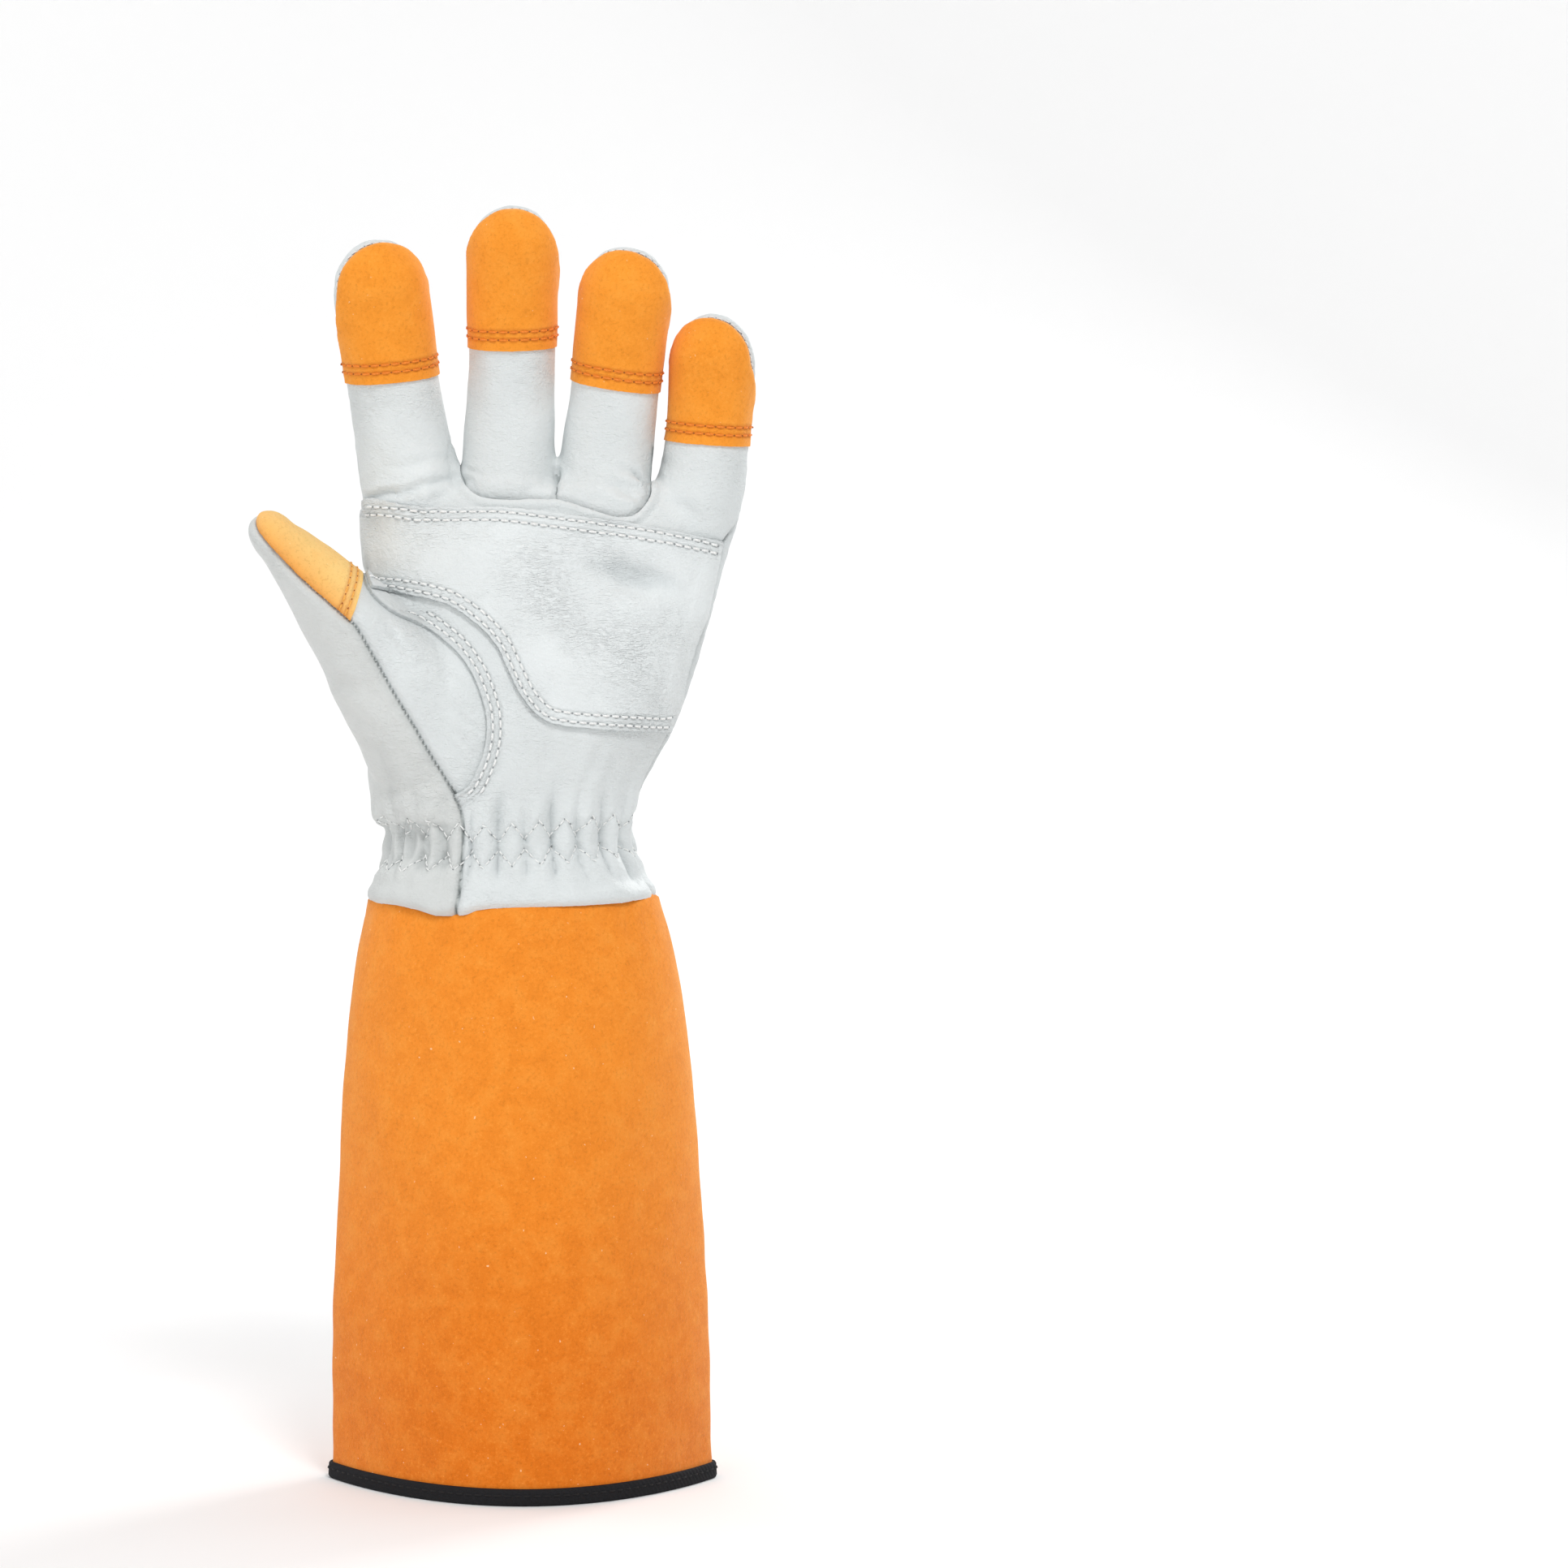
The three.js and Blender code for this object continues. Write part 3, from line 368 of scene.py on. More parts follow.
def cuff_ring(z, sides, grow=0.0):
    """Evenly spaced points round the cuff, from its right edge round the back."""
    s = cuff_section(z)
    turn = np.linspace(0.0, math.pi, 400)
    x, y = oval(turn, s["half"] + grow, s["deep"] + grow, s["deep"] + grow, 2.0, s["lens"])
    length = np.concatenate([[0.0], np.cumsum(np.hypot(np.diff(x), np.diff(y)))])
    even = np.linspace(0.0, length[-1], sides // 2 + 1)
    x, y = np.interp(even, length, x), np.interp(even, length, y)
    ring = np.column_stack([np.concatenate([x, x[-2:0:-1]]), np.concatenate([y, -y[-2:0:-1]])])
    for _ in range(4):
        ring = (np.roll(ring, 1, axis=0) + 2 * ring + np.roll(ring, -1, axis=0)) / 4
    return np.column_stack([ring[:, 0] + s["shift"], ring[:, 1], np.full(sides, z)])


def place_round(points, middle):
    """Turn of each point round the upright line through the middle."""
    return np.arctan2(points[:, 1], points[:, 0] - middle)


def finger_frame(f, at):
    """Place and directions on a finger's centre line, from 0 at its root to 1 before its tip."""
    steps = 24
    straight = f["length"] - f["tip"]

    def directions(share):
        bent = max(share, 0.0)
        lean = math.radians(mix(f["lean_root"], f["lean_tip"], bent))
        curl = math.radians(mix(f["curl_root"], f["curl_tip"], bent))
        up = np.array([math.sin(lean), 0.0, math.cos(lean)])
        along = up * math.cos(curl) + np.array([0.0, -math.sin(curl), 0.0])
        across = np.array([math.cos(lean), 0.0, -math.sin(lean)])
        deep = np.array([0.0, math.cos(curl), 0.0]) + up * math.sin(curl)
        return along, across, deep

    place = f["root"].copy()
    for i in range(steps):
        along, _, _ = directions(at * (i + 0.5) / steps)
        place = place + along * (at * straight / steps)
    return (place, *directions(at))


def finger_rings(f, rows):
    """Rings of points from inside the palm up and over a finger's round tip."""
    sides = 48
    straight = f["length"] - f["tip"]
    turn = np.arange(sides) * 2 * math.pi / sides
    rings = []
    places = [(at, 1.0) for at in np.linspace(rows[0]["at"], 1.0, 26)]
    for share in np.sin(np.linspace(0.08, 0.497, 12) * math.pi):
        shrink = (1 - share ** TIP_ROUNDNESS) ** (1 / TIP_ROUNDNESS)
        places.append((1.0 + share * f["tip"] / straight, shrink))
    for at, shrink in places:
        centre, _, across, deep = finger_frame(f, at)
        half = f["width"] / 2 * column(rows, "width", at) * shrink
        half_deep = f["depth"] / 2 * column(rows, "depth", at) * shrink
        u, v = oval(turn, half, half_deep, half_deep, 2.2, 2.1)
        rings.append(centre + u[:, None] * across + v[:, None] * deep)
    return rings


def finger_place(points, f):
    """Distance along a finger, and places across and deep from its centre line, in millimetres."""
    straight = f["length"] - f["tip"]
    ats = np.linspace(-0.5, 1.0 + f["tip"] / straight, 60)
    step = (ats[1] - ats[0]) * straight
    frames = [finger_frame(f, at) for at in ats]
    centres = np.array([fr[0] for fr in frames])
    axes = np.array([fr[1:] for fr in frames])
    nearest = np.zeros(len(points), dtype=int)
    best = np.full(len(points), np.inf)
    for i, centre in enumerate(centres):
        distance = np.linalg.norm(points - centre, axis=1)
        closer = distance < best
        best[closer] = distance[closer]
        nearest[closer] = i
    onward = np.einsum("ij,ij->i", points - centres[nearest], axes[nearest, 0])
    place = np.clip(nearest + onward / step, 0.0, len(ats) - 1.001)
    low = place.astype(int)
    t = (place - low)[:, None]
    away = points - mix(centres[low], centres[low + 1], t)
    turned = mix(axes[low], axes[low + 1], t[:, :, None])
    along = ats[0] * straight + place * step + np.einsum("ij,ij->i", away, turned[:, 0])
    return along, np.einsum("ij,ij->i", away, turned[:, 1]), np.einsum("ij,ij->i", away, turned[:, 2])


def past_turn(place, f, turn):
    """How far a place is past a turn round the finger, in millimetres."""
    x = np.cos(np.radians(turn)) * f["width"]
    y = np.sin(np.radians(turn)) * f["depth"]
    return (x * place[2] - y * place[1]) / np.hypot(x, y)


def behind_seams(place, f):
    """How far a place is inside the strip of back leather on a finger."""
    spread = smoothstep(0.75, 1.12, place[0] / (f["length"] - f["tip"]))
    start = mix(f["seam_from"], f["tip_seam_from"], spread)
    end = mix(f["seam_to"], f["tip_seam_to"], spread)
    return np.minimum(past_turn(place, f, start), -past_turn(place, f, end))


# Sheets of triangles with values at their corners

DIRECTION_KEYS = ("nx", "ny", "nz")


class Sheet:
    """A surface in millimetres, with named values at its points."""

    def __init__(self, points, faces, values=None):
        self.points = np.asarray(points, dtype=float)
        self.faces = np.asarray(faces, dtype=int)
        self.values = dict(values or {})

    def part(self, keep):
        """The faces that are kept, with only their own points."""
        faces = self.faces[keep]
        used, index = np.unique(faces, return_inverse=True)
        values = {key: value[used] for key, value in self.values.items()}
        return Sheet(self.points[used], index.reshape(faces.shape), values)

    def split(self, field, snap=0.12):
        """Two sheets, where the field is above and below zero, parted along a clean line."""
        f = self.values[field]
        f = np.where(np.abs(f) < snap, 0.0, f)
        sign = np.sign(f)[self.faces]
        crossed = (sign.max(axis=1) > 0) & (sign.min(axis=1) < 0)
        names = list(self.values)
        table = np.column_stack([self.points, *[self.values[n] for n in names], f])
        rows = list(table)
        made = {}
        above = list(self.faces[~crossed & (sign.sum(axis=1) > 0)])
        below = list(self.faces[~crossed & (sign.sum(axis=1) <= 0)])

        def between(a, b):
            key = (a, b) if a < b else (b, a)
            if key not in made:
                t = table[key[0], -1] / (table[key[0], -1] - table[key[1], -1])
                made[key] = len(rows)
                rows.append(table[key[0]] + (table[key[1]] - table[key[0]]) * t)
            return made[key]

        for face in self.faces[crossed]:
            high, low = [], []
            for k in range(3):
                a, b = face[k], face[(k + 1) % 3]
                if f[a] >= 0:
                    high.append(a)
                if f[a] <= 0:
                    low.append(a)
                if f[a] * f[b] < 0:
                    cut = between(a, b)
                    high.append(cut)
                    low.append(cut)
            for ring, side in ((high, above), (low, below)):
                for k in range(1, len(ring) - 1):
                    side.append(np.array([ring[0], ring[k], ring[k + 1]]))
        full = np.array(rows)
        values = {n: full[:, 3 + i] for i, n in enumerate(names)}
        whole = Sheet(full[:, :3], np.array(above + below), values)
        mask = np.arange(len(whole.faces)) < len(above)
        return whole.part(mask), whole.part(~mask)

    def bodies(self):
        """The connected pieces, largest first."""
        label = np.arange(len(self.points))
        edges = np.vstack([self.faces[:, [0, 1]], self.faces[:, [1, 2]]])
        while True:
            low = np.minimum(label[edges[:, 0]], label[edges[:, 1]])
            new = label.copy()
            np.minimum.at(new, edges[:, 0], low)
            np.minimum.at(new, edges[:, 1], low)
            new = new[new]
            if np.array_equal(new, label):
                break
            label = new
        owner = label[self.faces[:, 0]]
        names, counts = np.unique(owner, return_counts=True)
        return [self.part(owner == n) for n in names[np.argsort(-counts)]]

    def normals(self):
        """Outward directions at the points, the kept ones where there are any."""
        if DIRECTION_KEYS[0] in self.values:
            kept = np.column_stack([self.values[key] for key in DIRECTION_KEYS])
            return kept / np.maximum(np.linalg.norm(kept, axis=1, keepdims=True), 1e-12)
        a, b, c = (self.points[self.faces[:, k]] for k in range(3))
        face_normals = np.cross(b - a, c - a)
        out = np.zeros_like(self.points)
        for k in range(3):
            np.add.at(out, self.faces[:, k], face_normals)
        return out / np.maximum(np.linalg.norm(out, axis=1, keepdims=True), 1e-12)

    def keep_normals(self):
        """Keeps the directions of the whole form, so that its parts move and thicken alike at their seams."""
        normals = self.normals()
        for key, value in zip(DIRECTION_KEYS, normals.T):
            self.values[key] = value

    def lift(self, amount):
        self.points = self.points + self.normals() * np.asarray(amount)[..., None]

    def walled(self, thickness):
        """Points and faces of the sheet with an inner side and closed edges."""
        count = len(self.points)
        inner = self.points - self.normals() * thickness
        edges = self.edges()
        keys = np.sort(edges, axis=1)
        _, index, uses = np.unique(keys, axis=0, return_index=True, return_counts=True)
        rim = edges[index[uses == 1]]
        sides = np.vstack([
            np.column_stack([rim[:, 1], rim[:, 0], rim[:, 0] + count]),
            np.column_stack([rim[:, 1], rim[:, 0] + count, rim[:, 1] + count]),
        ])
        return np.vstack([self.points, inner]), np.vstack([self.faces, self.faces[:, ::-1] + count, sides])

    def edges(self):
        """The edges of all faces, as pairs of point numbers."""
        return np.vstack([self.faces[:, [0, 1]], self.faces[:, [1, 2]], self.faces[:, [2, 0]]])

    def smooth(self, rounds, back=0.0, where=1.0):
        """Draws points halfway to the middle of their neighbours, and lets them swing back by a share."""
        edges = np.unique(np.sort(self.edges(), axis=1), axis=0)
        edges = np.vstack([edges, edges[:, ::-1]])
        count = np.bincount(edges[:, 0], minlength=len(self.points))[:, None]
        for _ in range(rounds):
            for factor in (0.5, -back) if back else (0.5,):
                total = np.zeros_like(self.points)
                np.add.at(total, edges[:, 0], self.points[edges[:, 1]])
                step = factor * (total / np.maximum(count, 1) - self.points)
                self.points = self.points + step * where

    def contour(self, field, level=0.0):
        """Runs of points and normals where the field passes the level."""
        f = self.values[field] - level
        f = np.where(np.abs(f) < 1e-9, 1e-9, f)
        normals = self.normals()
        high = f[self.faces] > 0
        faces = self.faces[high.any(axis=1) & ~high.all(axis=1)]
        places, links = {}, {}
        for face in faces:
            cut = []
            for k in range(3):
                a, b = sorted((int(face[k]), int(face[(k + 1) % 3])))
                if (f[a] > 0) != (f[b] > 0):
                    if (a, b) not in places:
                        t = f[a] / (f[a] - f[b])
                        place = mix(self.points[a], self.points[b], t)
                        places[a, b] = (place, mix(normals[a], normals[b], t))
                    cut.append((a, b))
            links.setdefault(cut[0], []).append(cut[1])
            links.setdefault(cut[1], []).append(cut[0])
        runs = []
        unused = set(links)
        starts = [key for key in links if len(links[key]) == 1] + list(links)
        for start in starts:
            if start not in unused:
                continue
            run = [start]
            unused.discard(start)
            while True:
                ahead = [key for key in links[run[-1]] if key in unused]
                if not ahead:
                    break
                run.append(ahead[0])
                unused.discard(ahead[0])
            if start in links[run[-1]] and len(run) > 2:
                run.append(start)
            runs.append(([places[key][0] for key in run], [places[key][1] for key in run]))
        return [(np.array(p), np.array(n)) for p, n in runs if len(p) > 2]

    def object(self, name, thickness):
        """A mesh object with a wall of the thickness on its inner side."""
        points, faces = self.walled(thickness)
        piece = raw_object(name, points, faces.tolist())
        for key, value in self.values.items():
            if key in DIRECTION_KEYS:
                continue
            attribute = piece.data.attributes.new(key, "FLOAT", "POINT")
            attribute.data.foreach_set("value", np.concatenate([value, value]).astype(np.float32))
        select_only(piece)
        bpy.ops.object.shade_smooth_by_angle(angle=math.radians(50))
        return piece


def loft(rings):
    """A closed skin over rings of equally many points."""
    sides = len(rings[0])
    points = np.vstack([*rings, rings[0].mean(axis=0), rings[-1].mean(axis=0)])
    faces = []
    last = (len(rings) - 1) * sides
    for i in range(sides):
        n = (i + 1) % sides
        for r in range(len(rings) - 1):
            low = r * sides
            faces.append((low + i, low + n, low + sides + n, low + sides + i))
        faces.append((len(points) - 2, n, i))
        faces.append((len(points) - 1, last + i, last + n))
    return points, faces


def select_only(*pieces):
    """Selects these pieces and nothing else, with the first of them active."""
    for other in bpy.context.selected_objects:
        other.select_set(False)
    for piece in pieces:
        piece.select_set(True)
    if pieces:
        bpy.context.view_layer.objects.active = pieces[0]


def apply_modifiers(piece):
    select_only(piece)
    for modifier in list(piece.modifiers):
        bpy.ops.object.modifier_apply(modifier=modifier.name)


def raw_object(name, points, faces):
    mesh = bpy.data.meshes.new(name)
    mesh.from_pydata((np.asarray(points) * MM).tolist(), [], faces)
    piece = bpy.data.objects.new(name, mesh)
    bpy.context.scene.collection.objects.link(piece)
    return piece


def all_smooth(piece):
    piece.data.polygons.foreach_set("use_smooth", [True] * len(piece.data.polygons))


def turned_out(piece):
    """Turns the faces of a closed piece outwards."""
    select_only(piece)
    bpy.ops.object.mode_set(mode="EDIT")
    bpy.ops.mesh.select_all(action="SELECT")
    bpy.ops.mesh.normals_make_consistent(inside=False)
    bpy.ops.object.mode_set(mode="OBJECT")


def dress(piece, material, nodes=()):
    """Gives a piece its material and its body, and hides the solids it stands for."""
    piece.data.materials.clear()
    piece.data.materials.append(material)
    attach(piece, "root")
    if nodes:
        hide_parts(*nodes)


# Shader maths

class Value:
    """A socket whose arithmetic adds Math nodes."""

    def __init__(self, shader, socket):
        self.shader = shader
        self.socket = socket

    def _math(self, operation, *operands):
        return self.shader.node("ShaderNodeMath", {"operation": operation}, dict(enumerate(operands)))

    def __add__(self, other):
        return self._math("ADD", self, other)

    def __radd__(self, other):
        return self._math("ADD", other, self)

    def __sub__(self, other):
        return self._math("SUBTRACT", self, other)

    def __rsub__(self, other):
        return self._math("SUBTRACT", other, self)

    def __mul__(self, other):
        return self._math("MULTIPLY", self, other)

    def __rmul__(self, other):
        return self._math("MULTIPLY", other, self)

    def __abs__(self):
        return self._math("ABSOLUTE", self)

    def bell(self, width):
        """One where the value is nought, falling to nothing a few widths away."""
        return self._math("EXPONENT", self * self * (-1.0 / width ** 2))

    def limited(self):
        return self._math("MINIMUM", self._math("MAXIMUM", self, 0.0), 1.0)


class Shader:
    """A material's node tree, with one method for nodes of every type."""

    def __init__(self, name):
        self.material = bpy.data.materials.new(name)
        self.material.use_nodes = True
        self.tree = self.material.node_tree
        self.surface = self.tree.nodes["Principled BSDF"]
        self.place = self.node("ShaderNodeTexCoord", output="Object")

    def node(self, kind, settings=None, inputs=None, output=0):
        made = self.tree.nodes.new(kind)
        for key, value in (settings or {}).items():
            setattr(made, key, value)
        for key, value in (inputs or {}).items():
            self.feed(made.inputs[key], value)
        return Value(self, made.outputs[output])

    def feed(self, socket, value):
        if isinstance(value, Value):
            self.tree.links.new(value.socket, socket)
        else:
            socket.default_value = value

    def noise(self, size, detail=2.0, roughness=0.5, place=None):
        """Noise with a feature size in millimetres."""
        return self.node("ShaderNodeTexNoise", {}, {
            "Vector": place or self.place, "Scale": 1.0 / (size * MM),
            "Detail": detail, "Roughness": roughness,
        })

    def cells(self, size):
        """Soft pebbles with a size in millimetres."""
        inputs = {"Vector": self.place, "Scale": 1.0 / (size * MM), "Smoothness": 0.4}
        return self.node("ShaderNodeTexVoronoi", {"feature": "SMOOTH_F1"}, inputs)

    def attribute(self, name):
        return self.node("ShaderNodeAttribute", {"attribute_name": name}, output="Fac")

    def blend(self, factor, first, second):
        return self.node("ShaderNodeMix", {"data_type": "RGBA"}, {0: factor, 6: first, 7: second}, output=2)

    def tint(self, factor, base, shade):
        """The base colour multiplied by a shade."""
        settings = {"data_type": "RGBA", "blend_type": "MULTIPLY"}
        return self.node("ShaderNodeMix", settings, {0: factor, 6: base, 7: (*shade, 1.0)}, output=2)

    def stretch(self, value, low, high, to_low=0.0, to_high=1.0):
        return self.node("ShaderNodeMapRange", {}, {
            "Value": value, "From Min": low, "From Max": high, "To Min": to_low, "To Max": to_high,
        })

    def warped_place(self, size, reach, stretch):
        """Places shaken by noise of a size, by a reach in millimetres, and stretched."""
        shake = self.node("ShaderNodeTexNoise", {}, {
            "Vector": self.place, "Scale": 1.0 / (size * MM), "Detail": 2.0,
        }, output="Color")
        moved = self.node("ShaderNodeVectorMath", {"operation": "MULTIPLY_ADD"}, {
            0: shake, 1: (reach * MM, reach * MM, reach * MM), 2: self.place,
        })
        return self.node("ShaderNodeVectorMath", {"operation": "MULTIPLY"}, {0: moved, 1: stretch})

    def bump(self, height, depth, strength=1.0, under=None):
        """A bump whose height of one stands depth millimetres high."""
        inputs = {"Height": height, "Distance": depth * MM, "Strength": strength}
        if under is not None:
            inputs["Normal"] = under
        return self.node("ShaderNodeBump", {}, inputs)

    def finish(self, colour, roughness, normal, **constants):
        for name, value in (("Base Color", colour), ("Roughness", roughness), ("Normal", normal)):
            self.feed(self.surface.inputs[name], value)
        for key, value in constants.items():
            self.surface.inputs[SOCKETS[key]].default_value = value
        return self.material


SOCKETS = {
    "specular": "Specular IOR Level",
    "sheen_weight": "Sheen Weight",
    "sheen_roughness": "Sheen Roughness",
    "sheen_tint": "Sheen Tint",
}


def rgb(colour, light=1.0):
    """A colour for a socket, each part times a light, or times its own share of three."""
    red, green, blue = light if isinstance(light, tuple) else (light, light, light)
    return (colour[0] * red, colour[1] * green, colour[2] * blue, 1.0)


def grained_leather(name, colour, creased=0.5):
    """Pale goat leather: pebbled grain with fine creases, soft mottling, and painted shade in its creases,
    folds, seams, raw edges and stitch rows.
    """
    s = Shader(name)
    pebble = s.cells(1.15) + 0.6 * s.cells(0.55)
    pores = s.noise(0.35, 3.0, 0.6)
    cloud = s.noise(26.0, 3.0, 0.6)
    mottle = s.noise(3.5, 4.0, 0.6)
    warped = s.warped_place(5.0, 1.5, (0.5, 1.0, 1.9))
    lines = abs(s.noise(2.7, 2.0, 0.55, place=warped) - 0.5)
    finer = abs(s.noise(1.4, 2.0, 0.55, place=warped) - 0.5)
    cracks = (s.stretch(lines, 0.0, 0.05) + s.stretch(finer, 0.0, 0.09)) * 0.5
    areas = s.stretch(s.noise(22.0, 2.0, 0.5), 0.3, 0.72)
    depth = areas * cracks + (1.0 - areas)
    # painted shade: a thin dark line at seams and raw edges, and a broad darkening beside them
    seam = s.attribute("seam_distance").bell(0.45)
    beside = s.attribute("seam_distance").bell(1.8)
    row = s.attribute("stitch_distance").bell(0.75)
    # the leather's own tone, in broad lighter and darker clouds
    wear_and_painted_highlight = s.stretch(cloud, 0.35, 0.7)
    base = s.blend(wear_and_painted_highlight, rgb(colour, 0.95), rgb(colour, 1.03))
    base = s.blend(0.3 * mottle, base, rgb(colour, 0.9))
    # painted shade: the fine grain creases are darkened where they sink in
    base = s.blend((creased * 0.16 * (1.0 - depth)).limited(), base, rgb(colour, 0.78))
    # painted shade in the folds and wrist gathers
    base = s.tint(s.attribute("hollow"), base, (0.84, 0.85, 0.855))
    shaded = s.blend((0.14 * beside).limited(), base, rgb(colour, 0.7))
    shaded = s.blend((0.85 * seam).limited(), shaded, rgb(colour, (0.27, 0.3, 0.3)))
    # painted shade along the sunken stitch rows
    shaded = s.blend((0.1 * row).limited(), shaded, rgb(colour, (0.66, 0.7, 0.71)))
    grain = s.bump(pebble, 0.22, 0.6)
    grain = s.bump(pores, 0.05, 0.5, under=grain)
    grain = s.bump(depth, 0.34 * creased, 1.0, under=grain)
    grain = s.bump(s.noise(5.0, 3.0, 0.55), 0.9, 0.35, under=grain)
    grain = s.bump(row, -0.5, 0.9, under=grain)
    roughness = 0.46 + 0.12 * mottle + 0.15 * seam
    return s.finish(shaded, roughness, grain, specular=0.42)


def napped_suede(name, colour, pale):
    """Orange suede: a short brushed nap in drifting light and dark patches, with painted shade towards the
    hem, a painted highlight where the attribute asks for it, and painted shade along seams and stitch rows."""
    s = Shader(name)
    drift = s.noise(34.0, 3.0, 0.55)
    patches = s.noise(6.0, 4.0, 0.65)
    fibres = s.noise(1.0, 5.0, 0.75)
    fluff = s.noise(0.4, 3.0, 0.65)
    # painted shade: darker towards the hem, where less light falls
    base = s.blend(s.attribute("painted_hem_shade"), rgb(colour), rgb(colour, (0.87, 0.69, 0.38)))
    # painted highlight: paler yellow on the side of the thumb's cap that catches the light
    base = s.blend(s.attribute("wear_and_painted_highlight"), base, rgb((1.0, 0.76, 0.31)))
    base = s.tint(s.stretch(drift, 0.3, 0.72), base, (0.95, 0.93, 0.9))
    base = s.blend(s.stretch(patches, 0.45, 0.78, 0.0, 0.28), base, rgb(pale))
    base = s.tint(s.stretch(patches, 0.5, 0.25, 0.0, 0.4), base, (0.84, 0.8, 0.72))
    base = s.tint(s.stretch(fibres, 0.52, 0.7), base, (0.82, 0.77, 0.66))
    base = s.blend(s.stretch(fibres, 0.44, 0.26, 0.0, 0.5), base, rgb(pale, 1.05))
    base = s.blend(s.stretch(fluff, 0.62, 0.8, 0.0, 0.45), base, rgb(pale, 1.05))
    fleck = s.noise(1.3, 1.0, 0.5)
    base = s.blend(s.stretch(fleck, 0.77, 0.82, 0.0, 0.6), base, rgb((1.0, 0.8, 0.5)))
    row = s.attribute("stitch_distance").bell(0.7)
    seam = s.attribute("seam_distance").bell(0.8)
    # painted shade along the sunken stitch rows and the seams
    base = s.blend((0.28 * row + 0.4 * seam).limited(), base, rgb(colour, (0.66, 0.45, 0.4)))
    bumped = s.bump(fibres, 0.3, 0.7)
    bumped = s.bump(fluff, 0.1, 0.5, under=bumped)
    bumped = s.bump(patches, 0.6, 0.3, under=bumped)
    bumped = s.bump(row, -0.45, 0.8, under=bumped)
    return s.finish(base, 0.9 + 0.08 * fibres, bumped, specular=0.15,
                    sheen_weight=0.5, sheen_roughness=0.5, sheen_tint=rgb((1.0, 0.72, 0.4)))


def woven_tape(name, colour):
    """Black binding tape with a fine diagonal weave."""
    s = Shader(name)
    twill = s.node("ShaderNodeTexWave", {"bands_direction": "DIAGONAL"}, {
        "Vector": s.place, "Scale": 1.0 / (3.6 * MM), "Distortion": 1.2, "Detail": 1.0, "Detail Scale": 2.0,
    }, output="Fac")
    fuzz = s.noise(0.3, 3.0, 0.6)
    base = s.blend(s.stretch(fuzz, 0.4, 0.75), rgb(colour), rgb(colour, (3.0, 3.0, 3.2)))
    bumped = s.bump(fuzz, 0.1, 0.5, under=s.bump(twill, 0.14, 0.6))
    return s.finish(base, 0.78 + 0.12 * fuzz, bumped, specular=0.3)


def moulded_rubber(name, colour):
    """Black moulded rubber with a faint texture."""
    s = Shader(name)
    fine = s.noise(0.4, 3.0, 0.6)
    cloud = s.noise(9.0, 3.0, 0.5)
    base = s.blend(s.stretch(cloud, 0.35, 0.7), rgb(colour), rgb(colour, (1.8, 1.8, 1.9)))
    return s.finish(base, 0.5 + 0.15 * cloud, s.bump(fine, 0.05, 0.5), specular=0.45)


def twisted_thread(name, colour):
    """Sewing thread, with its twist and a little fuzz."""
    s = Shader(name)
    twist = s.node("ShaderNodeTexWave", {"bands_direction": "DIAGONAL"}, {
        "Vector": s.place, "Scale": 1.0 / (1.6 * MM), "Distortion": 0.6,
    }, output="Fac")
    fuzz = s.noise(0.2, 2.0, 0.6)
    base = s.blend(0.4 * twist, rgb(colour), rgb(colour, 0.72))
    return s.finish(base, 0.7 + 0.15 * fuzz, s.bump(twist, 0.08, 0.5))


def needle_hole(name, colour):
    """The painted shade inside a needle hole."""
    s = Shader(name)
    fuzz = s.noise(0.3, 2.0, 0.6)
    base = s.blend(fuzz, rgb(colour), rgb(colour, 1.5))
    return s.finish(base, 0.95, s.bump(fuzz, 0.05, 0.4))


def paper_floor(name, colour):
    s = Shader(name)
    cloud = s.noise(400.0, 2.0, 0.5)
    return s.finish(s.blend(cloud, rgb(colour, 0.985), rgb(colour)), 0.85, s.bump(s.noise(2.0), 0.02, 0.2))


# The hand's leather form

def voxel_union(solids, size):
    """One smooth closed surface round several closed lofts."""
    pieces = [raw_object("loft", *solid) for solid in solids]
    select_only(*pieces)
    bpy.ops.object.join()
    whole = bpy.context.view_layer.objects.active
    remesh = whole.modifiers.new("union", "REMESH")
    remesh.mode = "VOXEL"
    remesh.voxel_size = size * MM
    apply_modifiers(whole)
    mesh = whole.data
    mesh.calc_loop_triangles()
    points = np.empty(len(mesh.vertices) * 3)
    mesh.vertices.foreach_get("co", points)
    faces = np.empty(len(mesh.loop_triangles) * 3, dtype=np.int32)
    mesh.loop_triangles.foreach_get("vertices", faces)
    bpy.data.objects.remove(whole)
    return Sheet(points.reshape(-1, 3) / MM, faces.reshape(-1, 3))


def hand_form(voxel):
    heights = np.linspace(BAND_Z - 12.0, KNUCKLE_Z, 110)
    body = loft([hand_ring(z, 120) for z in heights])
    tubes = [loft(finger_rings(f, FINGER_ROWS)) for f in FINGERS]
    tubes.append(loft(finger_rings(THUMB, THUMB_ROWS)))
    form = voxel_union([body, *tubes], voxel)
    form.smooth(6, 0.52)
    near = np.zeros(len(form.points))
    for place in CROTCHES:
        near = np.maximum(near, bell(np.linalg.norm(form.points - np.array(place), axis=1), 14.0))
    form.smooth(26, where=np.clip(near * 1.5, 0.0, 1.0)[:, None])
    form.smooth(3)
    return form


def past_cap_edge(points, f):
    """How far places are past the edge of a finger's cap, in millimetres."""
    middle, along, across, _ = finger_frame(f, (f["length"] - f["cap_length"]) / (f["length"] - f["tip"]))
    tilt = math.radians(f["cap_tilt"])
    return (points - middle) @ (along * math.cos(tilt) + across * math.sin(tilt))


